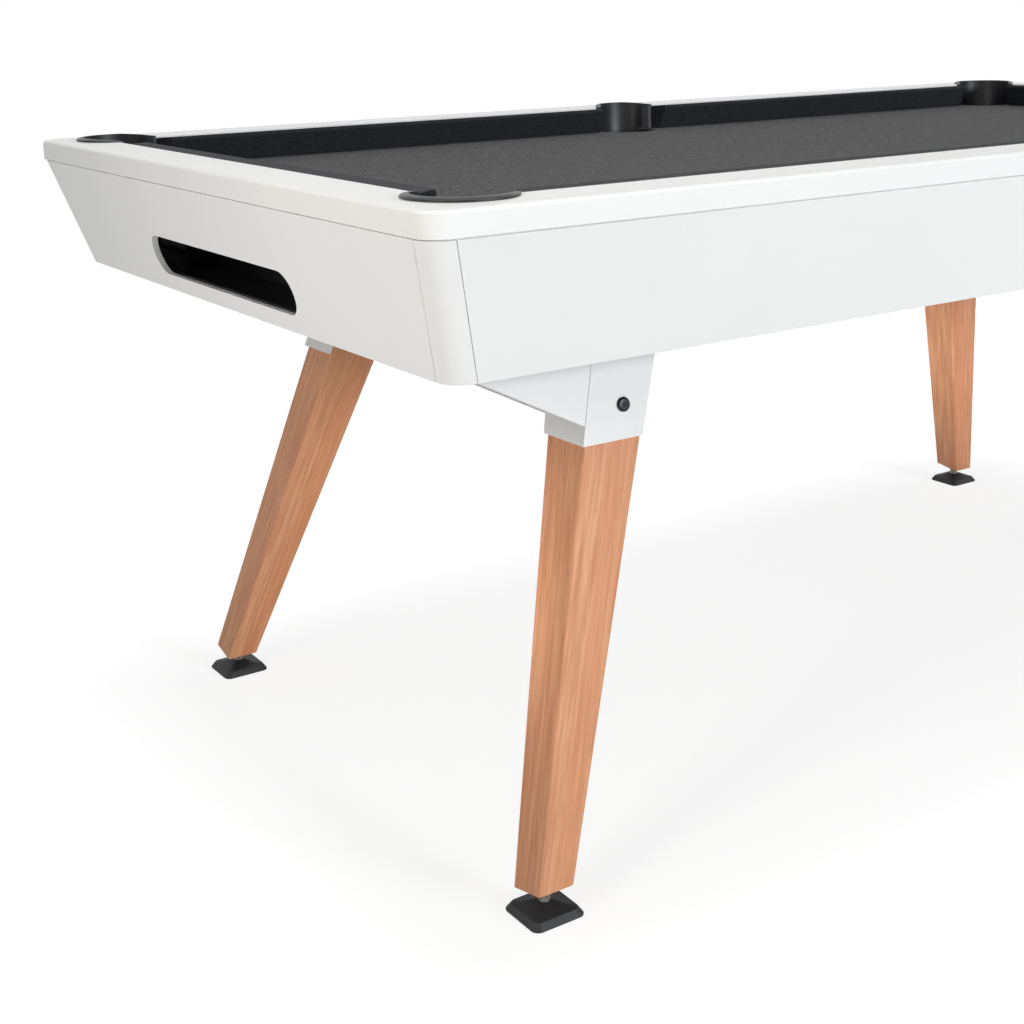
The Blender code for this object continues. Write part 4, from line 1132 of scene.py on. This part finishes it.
    def build_stud(self) -> None:
        """Make the stud's pin and hexagon, and add its thread."""
        bm = bmesh.new()
        hex_low = self.pad_top + SEAT_GAP
        hex_high = self.insert_low - SEAT_GAP
        for sides, radius, low, high in (
            (self.turn_steps, self.stud_radius, self.socket_floor + SEAT_GAP, hex_low),
            (HEX_SIDES, self.hex_radius, hex_low, hex_high),
        ):
            bmesh.ops.create_cone(bm, cap_ends=True, segments=sides, radius1=radius, radius2=radius,
                                  depth=high - low, matrix=Matrix.Translation((0.0, 0.0, (low + high) / 2)))
        thread = self.spin_thread(hex_high)
        bm.from_mesh(thread)
        bpy.data.meshes.remove(thread)
        bmesh.ops.translate(bm, vec=self.foot, verts=bm.verts)
        node = f"stud_{self.corner.label}"
        make_piece(f"plated_{node}", bm, ZINC, node, self.stud_edge, 1, f"stud_body_{self.corner.label}")


@dataclass(frozen=True)
class Lamp:
    """An oblong soft lamp that aims at a point, with its power in watts and its spread in degrees."""

    name: str
    power: float
    place: tuple
    aim: tuple
    size: tuple
    spread: float
    tint: str

    def add(self) -> None:
        """Put the lamp in the scene."""
        light = bpy.data.lights.new(self.name, "AREA")
        light.shape = "RECTANGLE"
        light.size, light.size_y = self.size
        light.spread = math.radians(self.spread)
        light.energy = self.power
        light.color = colour(self.tint)[:3]
        item = add_object(self.name, light)
        item.location = self.place
        aim = Vector(self.aim) - Vector(self.place)
        item.rotation_euler = aim.to_track_quat("-Z", "Y").to_euler()


@dataclass
class Studio:
    """Camera at the photograph's viewpoint, pale floor and soft light."""

    position: tuple = (-1.7226, -1.8130, 1.0126)
    right: tuple = (0.82209, -0.56901, -0.01955)
    down: tuple = (-0.13718, -0.16465, -0.97677)
    forward: tuple = (0.55259, 0.80568, -0.21341)
    lens: float = 56.15
    sensor: float = 36.0
    shift: tuple = (-0.0523, -0.1545)
    floor_size: float = 400.0
    floor_drop: float = 0.0002
    floor_colour: str = "#E6E6E6"
    # What the camera sees of the floor: an even glow, and a share of the light that falls on it
    floor_glow: float = 0.812
    floor_share: float = 0.29
    ambient: float = 0.30
    overhead: float = 1.2
    overhead_spread: float = math.radians(18)
    lamps: tuple = (
        Lamp("key", 530.0, (2.8, -9.2, 2.8), (0.0, -0.4, 0.65), (3.2, 1.6), 180.0, "#F8FCFF"),
        Lamp("fill", 2.2, (-3.0, -0.95, 1.65), (-1.0, -0.40, 0.72), (0.7, 0.7), 50.0, "#FFFAF0"),
        Lamp("low", 0.32, (-3.0, -1.0, 0.30), (0.82, 0.43, 0.30), (0.15, 0.15), 10.0, "#FFFFFF"),
    )

    def build(self) -> None:
        """Set up the view, the camera, the floor and the light."""
        bpy.context.scene.view_settings.view_transform = "Standard"
        self.add_camera()
        self.add_floor()
        self.add_world()
        self.add_overhead()
        for lamp in self.lamps:
            lamp.add()

    def add_camera(self) -> None:
        """Place the camera by its three axes."""
        camera = bpy.data.cameras.new("camera")
        camera.lens = self.lens
        camera.sensor_width = self.sensor
        camera.shift_x, camera.shift_y = self.shift
        item = add_object("camera", camera)
        axes = Matrix((self.right, [-value for value in self.down], [-value for value in self.forward]))
        item.matrix_world = Matrix.Translation(self.position) @ axes.transposed().to_4x4()
        bpy.context.scene.camera = item

    def seen_ray(self, tree: NodeTree) -> Node:
        """Add nodes that give 1 for the rays that show the background: camera, glossy and transmission."""
        path = add_node(tree, "LightPath").outputs
        seen = path["Is Camera Ray"]
        for ray in ("Is Glossy Ray", "Is Transmission Ray"):
            seen = add_node(tree, "Math", {0: seen, 1: path[ray]}, operation="MAXIMUM")
        return seen

    def add_floor(self) -> None:
        """Pale floor that bounces light, and shows nearly white with the table's shadow on it."""
        bm = bmesh.new()
        bmesh.ops.create_grid(bm, x_segments=1, y_segments=1, size=self.floor_size / 2)
        mesh = bpy.data.meshes.new("floor")
        bm.to_mesh(mesh)
        bm.free()
        material = bpy.data.materials.new("pale_floor")
        material.use_nodes = True
        tree = material.node_tree
        tree.nodes.clear()
        bounce = add_node(tree, "BsdfDiffuse", {"Color": colour(self.floor_colour)})
        shadow = add_node(tree, "BsdfDiffuse", {"Color": [self.floor_share] * 3 + [1.0]})
        glow = add_node(tree, "Emission", {"Strength": self.floor_glow})
        shown = add_node(tree, "AddShader", {0: shadow, 1: glow})
        mix = add_node(tree, "MixShader", {0: self.seen_ray(tree), 1: bounce, 2: shown})
        add_node(tree, "OutputMaterial", {"Surface": mix})
        mesh.materials.append(material)
        floor = add_object("floor", mesh)
        floor.location.z = -self.floor_drop

    def settle_floor(self) -> None:
        """Keep the floor under the lowest pad, however far the levelling feet are turned out."""
        floor = bpy.data.objects["floor"]
        for corner in Corner:
            under = floor.constraints.new("FLOOR")
            under.target = bpy.data.objects[f"rubber_pad_{corner.label}"]
            under.floor_location = "FLOOR_NEGATIVE_Z"
            under.offset = self.floor_drop

    def add_world(self) -> None:
        """Even light from all round, which shows as white behind the table."""
        world = bpy.data.worlds.new("studio")
        world.use_nodes = True
        tree = world.node_tree
        tree.nodes.clear()
        light = add_node(tree, "Background", {"Color": WHITE, "Strength": self.ambient})
        white = add_node(tree, "Background", {"Color": WHITE, "Strength": 1.0})
        mix = add_node(tree, "MixShader", {0: self.seen_ray(tree), 1: light, 2: white})
        add_node(tree, "OutputWorld", {"Surface": mix})
        bpy.context.scene.world = world

    def add_overhead(self) -> None:
        """Even light from straight above, which puts the table's shadow under it."""
        light = bpy.data.lights.new("overhead", "SUN")
        light.energy = self.overhead
        light.angle = self.overhead_spread
        add_object("overhead", light)


def main() -> None:
    """Build the studio and the table's sub-assemblies in order."""
    logging.basicConfig(level=logging.INFO, format="%(name)s: %(message)s")
    studio = Studio()
    studio.build()
    Cabinet().build()
    PlayingField(TableSizes(), PocketSizes()).build()
    for corner in Corner:
        Leg(corner).build()
    studio.settle_floor()


if __name__ == "__main__":
    main()
